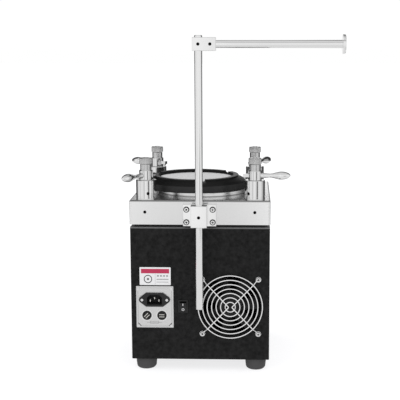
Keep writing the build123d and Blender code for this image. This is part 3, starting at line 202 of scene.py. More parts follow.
def deck_steel():
    """Brushed stainless of the deck, brighter towards its two ends as a painted highlight, and darker
    along the bend of its top edge as a painted dark reflection."""
    f = Finish("deck_steel")
    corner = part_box("deck")[1]
    lines = f.noise(60, 3.0, 0.6, stretch=(1, 12, 30))
    cloud = f.noise(22, 3.0)
    x, y, z = f.axes(f.place())
    along = x.math("ABSOLUTE") / corner.x
    # along * along is a painted highlight: the base colour brightens towards the deck's two ends
    shade = lines * 0.2 + cloud * 0.1 + along * along * 0.7
    # painted dark reflection: the base colour is darkened along the bend of the deck's top edge
    past_end = along.over(1.0 - DECK_EDGE_SHADE / corner.x, 0.01)
    past_side = y.math("ABSOLUTE").over(corner.y - DECK_EDGE_SHADE, MM)
    painted_edge_shade = past_end.math("MAXIMUM", past_side) * z.over(corner.z - DECK_EDGE_SHADE, MM)
    return f.surface(
        base_color=f.tint(painted_edge_shade * 0.8, f.tint(shade, even(0.65), even(0.90)), even(0.16)),
        metallic=1.0,
        roughness=lines * 0.12 + cloud * 0.04 + 0.12,
        normal=f.bump(lines, BRUSH, 0.3),
    )


def collar_steel():
    """Turned stainless of the collar ring, with coarse feed lines and painted shade round its foot."""
    f = Finish("collar_steel")
    height = f.axes(f.place())[2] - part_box("collar_ring")[0].z
    feed = f.noise(60, 2.0, 0.5, stretch=(0.2, 0.2, 22))
    # painted shade: the base colour is darkened over the lowest 1.3 mm, where the collar meets the deck
    painted_foot_shade = 1.0 - height.over(1.3 * MM, MM)
    plain = f.tint(feed, even(0.72), even(0.98))
    return f.surface(
        base_color=f.tint(painted_foot_shade * 0.8, plain, even(0.20)),
        metallic=1.0,
        roughness=feed * 0.1 + 0.24,
        normal=f.bump(feed, 2 * BRUSH, 0.5),
    )


def press_head_steel():
    """The bright turned sleeve of a press head, and the duller fine-turned neck above it."""
    f = Finish("press_head_steel")
    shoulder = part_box("press_head_rear_left")[1].z - NECK_HEIGHT
    lines = f.noise(90, 3.0, 0.6, stretch=(1, 1, 30))
    neck = f.axes(f.place())[2].over(shoulder, 0.8 * MM)
    sleeve = f.tint(lines, even(0.73), even(0.79))
    dull = f.tint(lines, even(0.50), even(0.64))
    return f.surface(
        base_color=f.tint(neck, sleeve, dull),
        metallic=1.0,
        roughness=lines * 0.08 + neck * 0.12 + 0.05,
        normal=f.bump(lines, BRUSH, 0.3),
    )


def lever_steel():
    """Polished steel of the egg levers, with a painted dark reflection along the top and the underside."""
    f = Finish("lever_steel")
    lines = f.noise(120, 3.0, 0.6)
    up = f.axes(f.node("ShaderNodeNewGeometry", output="Normal"))[2]
    # painted dark reflection: the base colour is darkened where the surface faces straight up or down
    painted_dark_outline = up.over(0.9, 0.12).math("MAXIMUM", (up * -1.0).over(0.72, 0.16))
    polished = f.tint(lines, even(0.80), even(0.88))
    return f.surface(
        base_color=f.tint(painted_dark_outline * 0.75, polished, even(0.22)),
        metallic=1.0,
        roughness=lines * 0.04 + 0.06,
        normal=f.bump(lines, BRUSH, 0.04),
    )


def plastic(name, low, high, rough, grain=1400, depth=0.05 * MM, gloss=0.22):
    """Moulded black or coloured plastic and rubber with a fine grain."""
    f = Finish(name)
    fine = f.noise(grain, 2.0)
    patch = f.noise(60, 3.0)
    return f.surface(
        base_color=f.tint(fine * 0.4 + patch * 0.6, low, high),
        roughness=patch * 0.12 + rough,
        specular_ior_level=gloss,
        normal=f.bump(fine, depth, 0.5),
    )


def ring_plastic():
    """Black plastic of the splash ring: paler on its skirt, and deep black on its shoulder and lip."""
    f = Finish("ring_plastic")
    fine = f.noise(1400, 2.0)
    patch = f.noise(60, 3.0)
    skirt = 1.0 - f.axes(f.place())[2].over(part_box("splash_ring")[1].z - LIP_RISE, MM)
    black = f.tint(patch, grey(0.001), grey(0.004))
    paler_skirt = f.tint(patch, grey(0.014), grey(0.026))
    return f.surface(
        base_color=f.tint(skirt, black, paler_skirt),
        roughness=patch * 0.12 + 0.34,
        specular_ior_level=0.18,
        normal=f.bump(fine, 0.05 * MM, 0.5),
    )


finishes = {
    "black_paint": case_paint(),
    "dark_steel": plastic("dark_steel", grey(0.008), grey(0.016), 0.45),
    "brushed_steel": steel("brushed_steel", even(0.80), 0.13, 60, 0.14, (1, 12, 30)),
    "machined_steel": steel("machined_steel", even(0.80), 0.04, 90, 0.08, (1, 1, 30)),
    "polished_steel": steel("polished_steel", even(0.86), 0.06, 120, 0.04, (1, 1, 1), shine=0.04),
    "foot_rubber": plastic("foot_rubber", grey(0.040), grey(0.066), 0.68),
    "belt_rubber": plastic("belt_rubber", grey(0.012), grey(0.024), 0.7),
    "plate_aluminium": steel("plate_aluminium", (0.70, 0.70, 0.71), 0.22, 160, 0.12, (1, 1, 1)),
    "gear_steel": steel("gear_steel", (0.52, 0.52, 0.53), 0.25, 160, 0.12, (1, 1, 1)),
    "pad_rubber": plastic("pad_rubber", grey(0.40), grey(0.48), 0.8, 2200),
    "splash_plastic": plastic("splash_plastic", grey(0.004), grey(0.009), 0.34, gloss=0.18),
    "inlet_aluminium": steel("inlet_aluminium", even(0.70), 0.30, 200, 0.1, (1, 1, 6)),
    "black_plastic": plastic("black_plastic", grey(0.010), grey(0.020), 0.42),
    "contact_metal": steel("contact_metal", (0.75, 0.74, 0.70), 0.2, 200, 0.1, (1, 1, 1)),
    "bright_wire": steel("bright_wire", even(0.95), 0.10, 200, 0.06, (1, 1, 1), shine=0.1),
    "screw_steel": steel("screw_steel", even(0.80), 0.12, 200, 0.08, (1, 1, 1)),
    "black_screw": plastic("black_screw", grey(0.004), grey(0.008), 0.4, gloss=0.12),
    "motor_paint": plastic("motor_paint", grey(0.02), grey(0.035), 0.35),
    "board_green": plastic("board_green", (0.01, 0.09, 0.03), (0.02, 0.14, 0.05), 0.4),
    "button_green": plastic("button_green", (0.02, 0.26, 0.07), (0.03, 0.34, 0.10), 0.3),
    "button_red": plastic("button_red", (0.40, 0.02, 0.02), (0.5, 0.03, 0.03), 0.3),
}
knurled_steel = steel("knurled_steel", even(0.58), 0.20, 240, 0.12, (1, 1, 1), wear=0.2)
bright_deck = deck_steel()
turned_collar = collar_steel()
press_steel = press_head_steel()
label_white = plastic("label_white", grey(0.60), grey(0.70), 0.45, depth=FILM)
label_crimson = plastic("label_crimson", (0.34, 0.020, 0.060), (0.44, 0.032, 0.085), 0.4, depth=FILM)
print_grey = plastic("print_grey", grey(0.16), grey(0.24), 0.5, depth=FILM)
print_black = plastic("print_black", grey(0.02), grey(0.04), 0.5, depth=FILM)
print_white = plastic("print_white", grey(0.42), grey(0.52), 0.5, depth=FILM)
moulded_ring = ring_plastic()
polished_lever = lever_steel()
window_glass = plastic("window_glass", grey(0.004), grey(0.007), 0.08, depth=FILM, gloss=0.6)

own_finish = {"deck": bright_deck, "collar_ring": turned_collar}
own_finish.update({name: press_steel for name in frame["nodes"] if name.startswith("press_head_")})
for part in frame["record"]["subparts"]:
    node = frame["nodes"][part["node"]]
    node.data.materials.clear()
    node.data.materials.append(own_finish.get(part["node"], finishes[part["material_slot"]]))


# ---- mesh making -----------------------------------------------------------------------------------
SHARP = math.radians(32)


def finish_piece(name, mesh, body, slot, stands_for=(), look=None):
    """Turns a bmesh into a piece on its body, standing for its CAD nodes, in its own look or its slot's."""
    bmesh.ops.recalc_face_normals(mesh, faces=mesh.faces)
    for edge in mesh.edges:
        edge.smooth = len(edge.link_faces) == 2 and edge.calc_face_angle(0) < SHARP
    for face in mesh.faces:
        face.smooth = True
    data = bpy.data.meshes.new(name)
    mesh.to_mesh(data)
    mesh.free()
    data.materials.append(look or finishes[slot])
    piece = bpy.data.objects.new(name, data)
    bpy.context.scene.collection.objects.link(piece)
    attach(piece, body)
    if stands_for:
        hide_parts(*stands_for)


def lathe(mesh, outline, place, turns, axis=(0, 0, 1), shape=None):
    """Adds a closed turned solid. outline is (radius, height) from one end of the axis to the other,
    and shape(radius, height, angle) may change the radius on the way round."""
    turned = Vector(axis).to_track_quat("Z", "Y").to_matrix().to_4x4()
    frame_of = Matrix.Translation(place) @ turned
    rings = []
    for radius, height in outline:
        if radius < 1e-7:
            rings.append([mesh.verts.new(frame_of @ Vector((0, 0, height)))])
            continue
        ring = []
        for step in range(turns):
            angle = math.tau * step / turns
            reach = shape(radius, height, angle) if shape else radius
            point = Vector((reach * math.cos(angle), reach * math.sin(angle), height))
            ring.append(mesh.verts.new(frame_of @ point))
        rings.append(ring)
    for low, high in zip(rings, rings[1:]):
        for step in range(turns):
            after = (step + 1) % turns
            near = [low[step % len(low)], low[after % len(low)]]
            far = [high[after % len(high)], high[step % len(high)]]
            mesh.faces.new(list(dict.fromkeys(near + far)))


def softened(corners, radius, steps=3):
    """An outline with its inner corners rounded to radius by short quadratic arcs."""
    made = [corners[0]]
    for before, corner, after in zip(corners, corners[1:], corners[2:]):
        here = Vector(corner)
        back = Vector(before) - here
        ahead = Vector(after) - here
        cut = min(radius, back.length * 0.45, ahead.length * 0.45)
        start = here + back.normalized() * cut
        end = here + ahead.normalized() * cut
        for step in range(steps + 1):
            t = step / steps
            made.append(tuple(start * (1 - t) ** 2 + here * (2 * t * (1 - t)) + end * t ** 2))
    made.append(corners[-1])
    return made


def flowing(points, steps=6):
    """A smooth line through points, as a Catmull-Rom curve."""
    line = [Vector(p) for p in points]
    padded = [line[0] * 2 - line[1], *line, line[-1] * 2 - line[-2]]
    made = []
    for a, b, c, d in zip(padded, padded[1:], padded[2:], padded[3:]):
        for step in range(steps):
            t = step / steps
            made.append(0.5 * (2 * b + (c - a) * t + (2 * a - 5 * b + 4 * c - d) * t ** 2
                               + (3 * b - a - 3 * c + d) * t ** 3))
    return [tuple(p) for p in made] + [tuple(line[-1])]


# ---- turned pieces of the corner posts -------------------------------------------------------------
POSTS = ("rear_left", "rear_right", "front_left", "front_right")
joints = {joint["name"]: joint for joint in frame["joints"]}


def tip_of(node, axis):
    """The corner of a node that is farthest from an upright axis, level with its middle."""
    low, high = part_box(node)
    corners = frame["nodes"][node].data.vertices
    far = max(corners, key=lambda corner: (corner.co.xy - axis.xy).length)
    return Vector((far.co.x, far.co.y, (low.z + high.z) / 2))


def millimetres(points):
    """An outline given in millimetres, in metres."""
    return [(radius * MM, height * MM) for radius, height in points]


def knurled_knob(post):
    """Pressure knob: straight knurl between two chamfers, a dished top and a small centre stud."""
    x, y, _ = joints[f"knob_{post}_turn"]["pos_m"]
    grip, height, stud = 10.35, 9.9, 0.9
    teeth = 40
    bite = 0.42 * MM
    lower = [(0, -7), (6, -7), (6, 0), (9.3, 0), (9.8, 0.25), (grip, 0.9), (grip, 1.1)]
    upper = [(grip, height - 1.1), (grip, height - 0.9), (9.8, height - 0.25), (9.3, height)]
    dish = [(4.6, height), (4.2, height - 0.5), (3.0, height - 0.5), (2.7, height - 0.3)]
    top = [(2.6, height + 0.6), (2.2, height + stud), (0, height + stud)]

    def knurl(radius, level, angle):
        on_grip = 1.0 * MM < level < (height - 1.0) * MM and radius > 10 * MM
        return radius - bite * (0.5 - 0.5 * math.cos(teeth * angle)) if on_grip else radius

    mesh = bmesh.new()
    body = f"knob_{post}"
    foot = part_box(body)[1].z - (height + stud) * MM
    outline = millimetres(lower + upper + dish + top)
    lathe(mesh, outline, (x, y, foot), turns=teeth * 6, shape=knurl)
    finish_piece(f"knurled_knob_{post}", mesh, body, "machined_steel", [body], knurled_steel)


def egg_lever(post):
    """Lever: a short collar at the sleeve, a waisted stem and an egg-shaped handle."""
    axis = Vector(joints[f"lever_{post}_swing"]["pos_m"])
    tip = tip_of(f"lever_{post}", axis)
    start = Vector((axis.x, axis.y, tip.z))
    root, end = 9.6, 56.4
    stem = [(4.3, root), (4.3, 13.4), (4.0, 14.2)]
    handle = flowing([stem[-1], (3.35, 20), (3.2, 25), (3.9, 29), (5.2, 34), (6.3, 39), (6.5, 42.5),
                      (6.0, 47), (4.7, 51.5), (2.9, 54.7), (1.4, 56.1), (0, end)])
    mesh = bmesh.new()
    outline = millimetres([(0, root), *stem, *handle[1:-1], (0, end)])
    lathe(mesh, outline, start, turns=64, axis=tip - start)
    names = [f"lever_{post}"]
    finish_piece(f"egg_lever_{post}", mesh, f"head_{post}", "polished_steel", names, polished_lever)


for post in POSTS:
    knurled_knob(post)
    egg_lever(post)


# ---- splash ring -----------------------------------------------------------------------------------
NOTCH = math.radians(11.8)
NOTCH_SLOPE = math.radians(0.9)
NOTCHES = ((40, 5.8), (160, 5.8), (280, 3.6))     # place in degrees and depth in millimetres


def splash_ring():
    """The black moulded ring round the pad: an upright lip, a sloping shoulder and a skirt, with three
    drain notches through the lip. Its corners are (radius, height over the floor) in millimetres."""
    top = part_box("splash_ring")[1].z
    notches = [(math.radians(place), depth * MM) for place, depth in NOTCHES]
    corners = [(63.5, 297), (82.5, 297), (82.5, 288.3), (85.5, 288.3), (85.5, 299.0), (73.4, 305.4),
               (72.0, 305.6), (72.0, 308.3), (63.5, 308.3), (63.5, 297.001)]
    outline = softened(corners, 0.8)
    turns = 360
    centre = Vector((*joints["plate_spin"]["pos_m"][:2], 0))
    mesh = bmesh.new()
    rings = []
    for step in range(turns):
        angle = math.tau * step / turns
        off, depth = min((abs((angle - n + math.pi) % math.tau - math.pi), d) for n, d in notches)
        open_share = 1 - min(1, max(0, (off - NOTCH / 2) / NOTCH_SLOPE))
        ceiling = top - depth * open_share
        across = Vector((math.cos(angle), math.sin(angle), 0)) * MM
        points = [centre + across * r + Vector((0, 0, min(h * MM, ceiling))) for r, h in outline]
        rings.append([mesh.verts.new(point) for point in points])
    for here, there in zip(rings, rings[1:] + rings[:1]):
        for i in range(len(outline)):
            j = (i + 1) % len(outline)
            mesh.faces.new((here[i], there[i], there[j], here[j]))
    finish_piece("splash_guard_ring", mesh, "plate", "splash_plastic", ["splash_ring"], moulded_ring)


splash_ring()


# ---- flat prints and small fittings ----------------------------------------------------------------
def slab(mesh, outline, near, far):
    """Adds a prism whose outline is (x, z) points, between two depths y."""
    front = [mesh.verts.new((x, near, z)) for x, z in outline]
    back = [mesh.verts.new((x, far, z)) for x, z in outline]
    mesh.faces.new(front)
    mesh.faces.new(back[::-1])
    for k in range(len(outline)):
        n = (k + 1) % len(outline)
        mesh.faces.new((front[k], back[k], back[n], front[n]))


def panel_outline(left, bottom, right, top, corner, steps=4):
    """A rectangle with rounded corners, as (x, z) points."""
    points = []
    for turn, (x, z) in enumerate(((right, top), (left, top), (left, bottom), (right, bottom))):
        inner_x = x - math.copysign(corner, x - (left + right) / 2)
        inner_z = z - math.copysign(corner, z - (bottom + top) / 2)
        for step in range(steps + 1):
            angle = math.radians(90 * (turn + step / steps))
            points.append((inner_x + corner * math.cos(angle), inner_z + corner * math.sin(angle)))
    return points


def stroke(mesh, start, end, width, near, far):
    """A straight printed line from start to end, each (x, z)."""
    ahead = Vector((end[0] - start[0], end[1] - start[1])).normalized() * width / 2
    side = Vector((-ahead.y, ahead.x))
    a, b = Vector(start), Vector(end)
    slab(mesh, [tuple(a - side), tuple(b - side), tuple(b + side), tuple(a + side)], near, far)


def hoop(mesh, middle, inner, outer, near, far, turns=48):
    """A flat ring round middle, an (x, z) point, between two depths y."""
    x, z = middle
    rows = []
    for radius, depth in ((inner, near), (outer, near), (outer, far), (inner, far)):
        angles = [math.tau * step / turns for step in range(turns)]
        points = [(x + radius * math.cos(a), depth, z + radius * math.sin(a)) for a in angles]
        rows.append([mesh.verts.new(point) for point in points])
    for here, there in zip(rows, rows[1:] + rows[:1]):
        for k in range(turns):
            n = (k + 1) % turns
            mesh.faces.new((here[k], here[n], there[n], there[k]))


LABEL_PLACE = (5.9, 1.6)      # right of the inlet plate's left edge and above its top, in millimetres
LABEL_SIZE = (49.9, 29.3)


def rear_label():
    """A white plate over the inlet: a crimson band, a plain ring and bars, with nothing to read."""
    low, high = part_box("inlet_plate")
    left, bottom = low.x + LABEL_PLACE[0] * MM, high.z + LABEL_PLACE[1] * MM
    right, top = left + LABEL_SIZE[0] * MM, bottom + LABEL_SIZE[1] * MM
    face = WALL - 0.5 * MM
    print_face = face - INK
    plate = bmesh.new()
    slab(plate, panel_outline(left, bottom, right, top, 1.2 * MM), face, WALL)
    finish_piece("label_plate", plate, "root", "inlet_aluminium", look=label_white)
    band = bmesh.new()
    edge = 2.4 * MM
    band_low, band_high = top - 10.0 * MM, top - 2.7 * MM
    slab(band, panel_outline(left + edge, band_low, right - edge, band_high, 0.5 * MM), print_face, face)
    finish_piece("label_band", band, "root", "inlet_aluminium", look=label_crimson)
    sign = bmesh.new()
    sign_middle = (left + 13.4 * MM, bottom + 9.9 * MM)
    hoop(sign, sign_middle, 5.4 * MM, 6.7 * MM, print_face, face)
    hoop(sign, sign_middle, 0.7 * MM, 1.9 * MM, print_face, face)
    finish_piece("label_sign", sign, "root", "inlet_aluminium", look=print_black)
    rules = bmesh.new()
    middle = (left + right) / 2
    gap = 0.8 * MM
    stroke(rules, (middle, bottom + gap), (middle, band_low - gap), 0.3 * MM, print_face, face)
    for lift, width in ((5.0, 0.7), (9.6, 1.1)):
        start = (middle + 2.2 * MM, bottom + lift * MM)
        end = (right - 3.6 * MM, bottom + lift * MM)
        stroke(rules, start, end, width * MM, print_face, face)
    for block in range(4):
        start = (middle + (3.0 + 4.9 * block) * MM, bottom + 15.2 * MM)
        end = (start[0] + 3.0 * MM, start[1])
        stroke(rules, start, end, 2.2 * MM, print_face, face)
    finish_piece("label_rules", rules, "root", "inlet_aluminium", look=print_grey)


def inlet_print():
    """Printed frame of the inlet plate with cut lower corners, and a fuse symbol under the fuses."""
    low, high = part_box("inlet_plate")
    face = low.y
    print_face = face - INK
    inset, cut = 2.8 * MM, 5.0 * MM
    left, right = low.x + inset, high.x - inset
    bottom, top = low.z + inset, high.z - inset
    thin = 0.45 * MM
    lines = bmesh.new()
    stroke(lines, (left, bottom + cut), (left, top - cut), thin, print_face, face)
    stroke(lines, (right, bottom + cut), (right, top - cut), thin, print_face, face)
    stroke(lines, (left + cut, bottom), (right - cut, bottom), thin, print_face, face)
    stroke(lines, (left + cut, top), (right - cut, top), thin * 0.6, print_face, face)
    middle, level = (low.x + high.x) / 2 - 1.0 * MM, low.z + 8.8 * MM
    half_box, half_tall, wire = 6.5 * MM, 1.7 * MM, 12 * MM
    box_left, box_right = middle - half_box, middle + half_box
    box_low, box_high = level - half_tall, level + half_tall
    for z in (box_low, box_high):
        stroke(lines, (box_left, z), (box_right, z), thin, print_face, face)
    for x in (box_left, box_right):
        stroke(lines, (x, box_low), (x, box_high), thin, print_face, face)
    stroke(lines, (middle - wire, level), (middle + wire, level), thin, print_face - INK, face)
    finish_piece("inlet_plate_print", lines, "root", "inlet_aluminium", look=print_grey)
    corners = bmesh.new()
    stroke(corners, (left, bottom + cut), (left + cut, bottom), 1.1 * MM, print_face, face)
    stroke(corners, (right, bottom + cut), (right - cut, bottom), 1.1 * MM, print_face, face)
    finish_piece("inlet_plate_corners", corners, "root", "inlet_aluminium", look=print_black)


def fuse_fittings():
    """A bright washer under each fuse holder, and two bright lips beside the slot of its cap."""
    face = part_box("inlet_plate")[0].y
    hoops = bmesh.new()
    for name, slot_turn in (("fuse_cap_left", 45.0), ("fuse_cap_right", 0.0)):
        x, _, z = joints[f"{name}_turn"]["pos_m"]
        hoop(hoops, (x, z), 7.65 * MM, 8.9 * MM, face - 0.3 * MM, face)
        cap_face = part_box(name)[0].y
        along = Vector((math.cos(math.radians(slot_turn)), math.sin(math.radians(slot_turn))))
        across = Vector((-along.y, along.x))
        lips = bmesh.new()
        for side in (-1, 1):
            middle = Vector((x, z)) + across * side * 1.75 * MM
            reach = along * 4.2 * MM
            ends = tuple(middle - reach), tuple(middle + reach)
            stroke(lips, *ends, 1.1 * MM, cap_face - FLUSH, cap_face + MM)
        finish_piece(f"{name}_slot_lips", lips, name, "contact_metal")
    finish_piece("fuse_washers", hoops, "root", "inlet_aluminium", look=finishes["bright_wire"])


def rocker_marks():
    """I and O in light print on the two halves of the tipped rocker key."""
    tilt = Matrix.Rotation(math.radians(9.0), 4, "X")
    place = Matrix.Translation(joints["rocker_tip"]["pos_m"]) @ tilt
    inside = -4.2 * MM
    marks = bmesh.new()
    stroke(marks, (0, 2.4 * MM), (0, 6.4 * MM), 1.3 * MM, -5.45 * MM, inside)
    hoop(marks, (0, -4.3 * MM), 1.3 * MM, 2.3 * MM, -5.3 * MM, inside, turns=24)
    bmesh.ops.transform(marks, matrix=place, verts=marks.verts)
    finish_piece("rocker_marks", marks, "rocker", "black_plastic", look=print_white)


BRACKET_SCREWS = (20.7, (247.1, 267.4))      # to each side of the mast, and their levels, in millimetres
BRACKET_PLATE = 6.0 * MM
BRACKET_HEAD = 2.2 * MM
GUARD_SCREWS = 45 * MM                       # from the middle of the fan guard, each way
GUARD_HEAD = 4.3 * MM                        # from the wall to the face of a head


def screw_details():
    """Black rings round the four bracket screw heads as painted shadow in their seats, and black crosses
    on every head as painted shade in its cross recess.
    """
    seat = WALL - BRACKET_PLATE
    guard_low, guard_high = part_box("fan_guard")
    guard_x, guard_z = (guard_low.x + guard_high.x) / 2, (guard_low.z + guard_high.z) / 2
    reach, levels = BRACKET_SCREWS
    bracket = [(x * MM, z * MM) for x in (-reach, reach) for z in levels]
    sides = (-GUARD_SCREWS, GUARD_SCREWS)
    guard = [(guard_x + x, guard_z + z) for x in sides for z in sides]
    hoops = bmesh.new()
    # painted shadow: flat black rings round the bracket screw heads stand for the shade in their seats
    for middle in bracket:
        hoop(hoops, middle, 3.5 * MM, 4.8 * MM, seat - 0.35 * MM, seat)
    finish_piece("bracket_seat_shadows", hoops, "root", "black_screw")
    # painted shade: thin black crosses on each screw head stand for the shade in its cross recess
    painted_recess_shade = bmesh.new()
    for places, face, turn in ((bracket, seat - BRACKET_HEAD, 20), (guard, WALL - GUARD_HEAD, 45)):
        for k, middle in enumerate(places):
            for quarter in (0, 90):
                angle = math.radians(turn + quarter + 23 * k)
                arm = Vector((math.cos(angle), math.sin(angle))) * 2.1 * MM
                ends = tuple(Vector(middle) - arm), tuple(Vector(middle) + arm)
                stroke(painted_recess_shade, *ends, 1.0 * MM, face - INK, face + 0.3 * MM)
    finish_piece("screw_recess_shade", painted_recess_shade, "root", "black_screw")


def block_set_screws():
    """Two black hexagon-socket set screws in the back of the cross block."""
    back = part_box("cross_block")[0].y
    level = joints["arm_swing"]["pos_m"][2]
    screws = bmesh.new()
    flat = 1.3          # half the socket's width across its flats
    outline = [(0, 0.8), (flat, 0.8), (flat, 2.0), (2.1, 2.0), (2.4, 1.7), (2.4, -1.0), (0, -1.0)]

    def socket(radius, height, angle):
        if abs(radius - flat * MM) > 1e-6:
            return radius
        return radius / math.cos((angle + math.pi / 6) % (math.pi / 3) - math.pi / 6)

    for x in (0.0, 18.0):
        seat = (x * MM, back + 2.5 * MM, level)
        lathe(screws, millimetres(outline), seat, turns=24, axis=(0, -1, 0), shape=socket)
    finish_piece("block_set_screws", screws, "cross_block", "black_screw")


def front_panel_fittings():
    """Display window in its bezel, the dial's scale and pointer, and rings round the two buttons."""
    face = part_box("front_panel")[1].y
    dial_low, dial_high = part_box("speed_dial")
    dial = ((dial_low.x + dial_high.x) / 2, (dial_low.z + dial_high.z) / 2)
    window = dial[1] + 52 * MM
    half_wide, half_tall = 36 * MM, 17 * MM
    sides = (-half_wide, window - half_tall, half_wide, window + half_tall)
    bezel = bmesh.new()
    slab(bezel, panel_outline(*sides, 3 * MM), face, face + 1.2 * MM)
    bmesh.ops.bevel(bezel, geom=bezel.edges[:], offset=0.3 * MM, segments=1, affect="EDGES")
    finish_piece("display_bezel", bezel, "root", "black_plastic")
    glass = bmesh.new()
    edge = 4 * MM
    inner = (sides[0] + edge, sides[1] + edge, sides[2] - edge, sides[3] - edge)
    slab(glass, panel_outline(*inner, 1.5 * MM), face + 1.1 * MM, face + 1.35 * MM)
    finish_piece("display_window", glass, "root", "black_plastic", look=window_glass)
    scale = bmesh.new()
    first_tick, pitch = 230, 28          # degrees
    for tick in range(11):
        angle = math.radians(first_tick - pitch * tick)
        out = Vector((math.cos(angle), math.sin(angle)))
        reach = 20.5 if tick % 5 == 0 else 19.0
        start = Vector(dial) + out * 16.0 * MM
        end = Vector(dial) + out * reach * MM
        stroke(scale, tuple(start), tuple(end), 0.9 * MM, face, face + INK)
    for name in ("start_button", "stop_button"):
        low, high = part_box(name)
        middle = ((low.x + high.x) / 2, (low.z + high.z) / 2)
        radius = (high.x - low.x) / 2
        hoop(scale, middle, radius + 1.0 * MM, radius + 1.8 * MM, face, face + INK)
    finish_piece("front_print", scale, "root", "black_paint", look=print_white)
    pointer = bmesh.new()
    tip_face = dial_high.y
    start, end = (dial[0], dial[1] + 4 * MM), (dial[0], dial[1] + 10.4 * MM)
    stroke(pointer, start, end, 1.2 * MM, tip_face - 0.3 * MM, tip_face + FLUSH)
    finish_piece("dial_pointer", pointer, "speed_dial", "black_plastic", look=print_white)


rear_label()
inlet_print()
fuse_fittings()
rocker_marks()
screw_details()
block_set_screws()
front_panel_fittings()


# ---- studio ----------------------------------------------------------------------------------------
TENT_RADIUS = 1.25
TENT_TOP = 1.9
TENT_LIGHT = 0.92
TENT_SCREENS = (                     # place, width and softness in degrees, share of light taken off
    (78, 8, 6, 0.25),
    (-64, 8, 6, 0.25),
    (100, 20, 14, 0.60),
    (-103, 18, 12, 0.55),
    (137, 60, 9, 0.95),
    (-137, 60, 9, 0.95),
)
LOW_SCREENS = (                      # screens that stand on the floor and fade out at LOW_TOP
    (29, 15, 8, 0.85),
    (-20, 9, 7, 0.35),
)
LOW_TOP = (0.24, 0.16)               # their height and softness in metres
TENT_FRONT = (-4, 5, 5, -0.22)       # a brighter strip straight behind the machine
TENT_SHADE = (1.55, 0.6, 0.3, 0.45)  # height, width, softness in metres and share of its dark hem
CEILING = (0.8, 0.35)                # brightness over the back and over the front of the machine
FLOOR_GLOSS = 0.82                   # brightness of the floor in bare metal
FLOOR_GLOW = 3.1                     # light that the floor gives off
TENT_SIDES = 90


def sky():
    """A white room, a little brighter overhead."""
    world = bpy.data.worlds.new("white_room")
    world.use_nodes = True
    bpy.context.scene.world = world
    g = Graph(world.node_tree)
    height = g.axes(g.node("ShaderNodeTexCoord", output="Generated"))[2]
    bright = g.node("ShaderNodeMath", {"operation": "MAXIMUM"}, {0: height, 1: 0.0}) * 0.45 + 1.0
    light = g.node("ShaderNodeBackground", {}, {"Color": (1, 1, 1, 1), "Strength": bright})
    g.node("ShaderNodeOutputWorld", {}, {"Surface": light}, output=None)


def reflected_only(name, mesh, brightness):
    """A staged screen that only polished surfaces see, so it shades bare metal and nothing else."""
    data = bpy.data.meshes.new(name)
    mesh.to_mesh(data)
    mesh.free()
    screen = bpy.data.objects.new(name, data)
    bpy.context.scene.collection.objects.link(screen)
    for ray in ("camera", "diffuse", "transmission", "shadow", "volume_scatter"):
        setattr(screen, f"visible_{ray}", False)
    cloth = Finish(name)
    glow = cloth.node("ShaderNodeEmission", {}, {"Color": (1, 1, 1, 1), "Strength": brightness(cloth)})
    cloth.node("ShaderNodeOutputMaterial", {}, {"Surface": glow}, output=None)
    data.materials.append(cloth.material)


def tent_light(cloth):
    """The light tent's brightness: white, with soft dark screens that draw the edges of bare metal."""

    def kept(distance, width, soft, share):
        return 1.0 - (1.0 - distance.math("ABSOLUTE").over(width / 2, soft)) * share

    x, y, z = cloth.axes(cloth.place())
    turn = x.math("ARCTAN2", y * -1.0)
    height, width, soft, share = TENT_SHADE
    bright = kept(z - height, width, soft, share) * TENT_LIGHT
    low = 1.0 - z.over(*LOW_TOP)
    screens = [(*screen, low) for screen in LOW_SCREENS]
    screens += [(*screen, 1.0) for screen in (*TENT_SCREENS, TENT_FRONT)]
    for *spread, share, reach in screens:
        place, width, soft = map(math.radians, spread)
        bright = bright * kept(turn - place, width, soft, reach * share)
    return bright


def ceiling_light(cloth):
    """Bright over the back of the machine, darker over its front."""
    back, front = CEILING
    y = cloth.axes(cloth.place())[1]
    return y.over(0.1, 1.2) * (front - back) + back


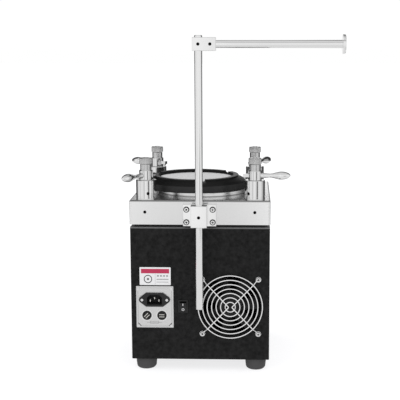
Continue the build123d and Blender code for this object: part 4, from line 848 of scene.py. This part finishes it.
def light_tent():
    """A drum round the machine with a floor sheet and a lid, seen by bare metal only."""
    drum = bmesh.new()
    angles = [math.tau * k / TENT_SIDES for k in range(TENT_SIDES)]
    rim = [(TENT_RADIUS * math.cos(a), TENT_RADIUS * math.sin(a)) for a in angles]
    low = [drum.verts.new((x, y, 0.0)) for x, y in rim]
    high = [drum.verts.new((x, y, TENT_TOP)) for x, y in rim]
    for k in range(TENT_SIDES):
        n = (k + 1) % TENT_SIDES
        drum.faces.new((low[k], low[n], high[n], high[k]))
    reflected_only("tent_wall", drum, tent_light)
    sheet = bmesh.new()
    sheet.faces.new([sheet.verts.new((x, y, 0.6 * MM)) for x, y in rim])
    reflected_only("tent_floor", sheet, lambda cloth: FLOOR_GLOSS)
    lid = bmesh.new()
    lid.faces.new([lid.verts.new((x, y, TENT_TOP)) for x, y in rim])
    reflected_only("tent_ceiling", lid, ceiling_light)


def studio():
    """The white room, its glowing acrylic floor, the light tent and two softboxes."""
    bpy.context.scene.view_settings.view_transform = "Standard"
    sky()
    light_tent()
    reach = 40.0
    corners = [(-reach, -reach, 0), (reach, -reach, 0), (reach, reach, 0), (-reach, reach, 0)]
    floor_mesh = bpy.data.meshes.new("floor")
    floor_mesh.from_pydata(corners, [], [(0, 1, 2, 3)])
    floor = bpy.data.objects.new("floor", floor_mesh)
    bpy.context.scene.collection.objects.link(floor)
    acrylic = Finish("floor_acrylic")
    shade = acrylic.tint(acrylic.noise(3), grey(0.24), grey(0.26))
    glow = acrylic.surface(
        base_color=shade,
        roughness=0.9,
        specular_ior_level=0.0,
        emission_color=shade,
        emission_strength=FLOOR_GLOW,
    )
    floor_mesh.materials.append(glow)
    for name, place, size, power in (
        ("key_softbox", (-1.3, -1.6, 1.7), 1.4, 8),
        ("fill_softbox", (1.5, -1.2, 1.2), 1.2, 4),
    ):
        lamp = bpy.data.lights.new(name, "AREA")
        lamp.size = size
        lamp.energy = power
        light = bpy.data.objects.new(name, lamp)
        light.location = place
        light.rotation_euler = (Vector((0, 0, 0.2)) - Vector(place)).to_track_quat("-Z", "Y").to_euler()
        bpy.context.scene.collection.objects.link(light)


def camera():
    """Level with the top of the mast and a little to the right, looking slightly down at the back."""
    lens = bpy.data.cameras.new("camera")
    lens.lens = 81.0
    lens.sensor_width = 36.0
    lens.shift_x = -0.067
    eye = bpy.data.objects.new("camera", lens)
    eye.location = (0.0843, -1.508, 0.511)
    eye.rotation_euler = (math.radians(90 - 9.3), 0, math.radians(1.7))
    bpy.context.scene.collection.objects.link(eye)
    bpy.context.scene.camera = eye


studio()
camera()
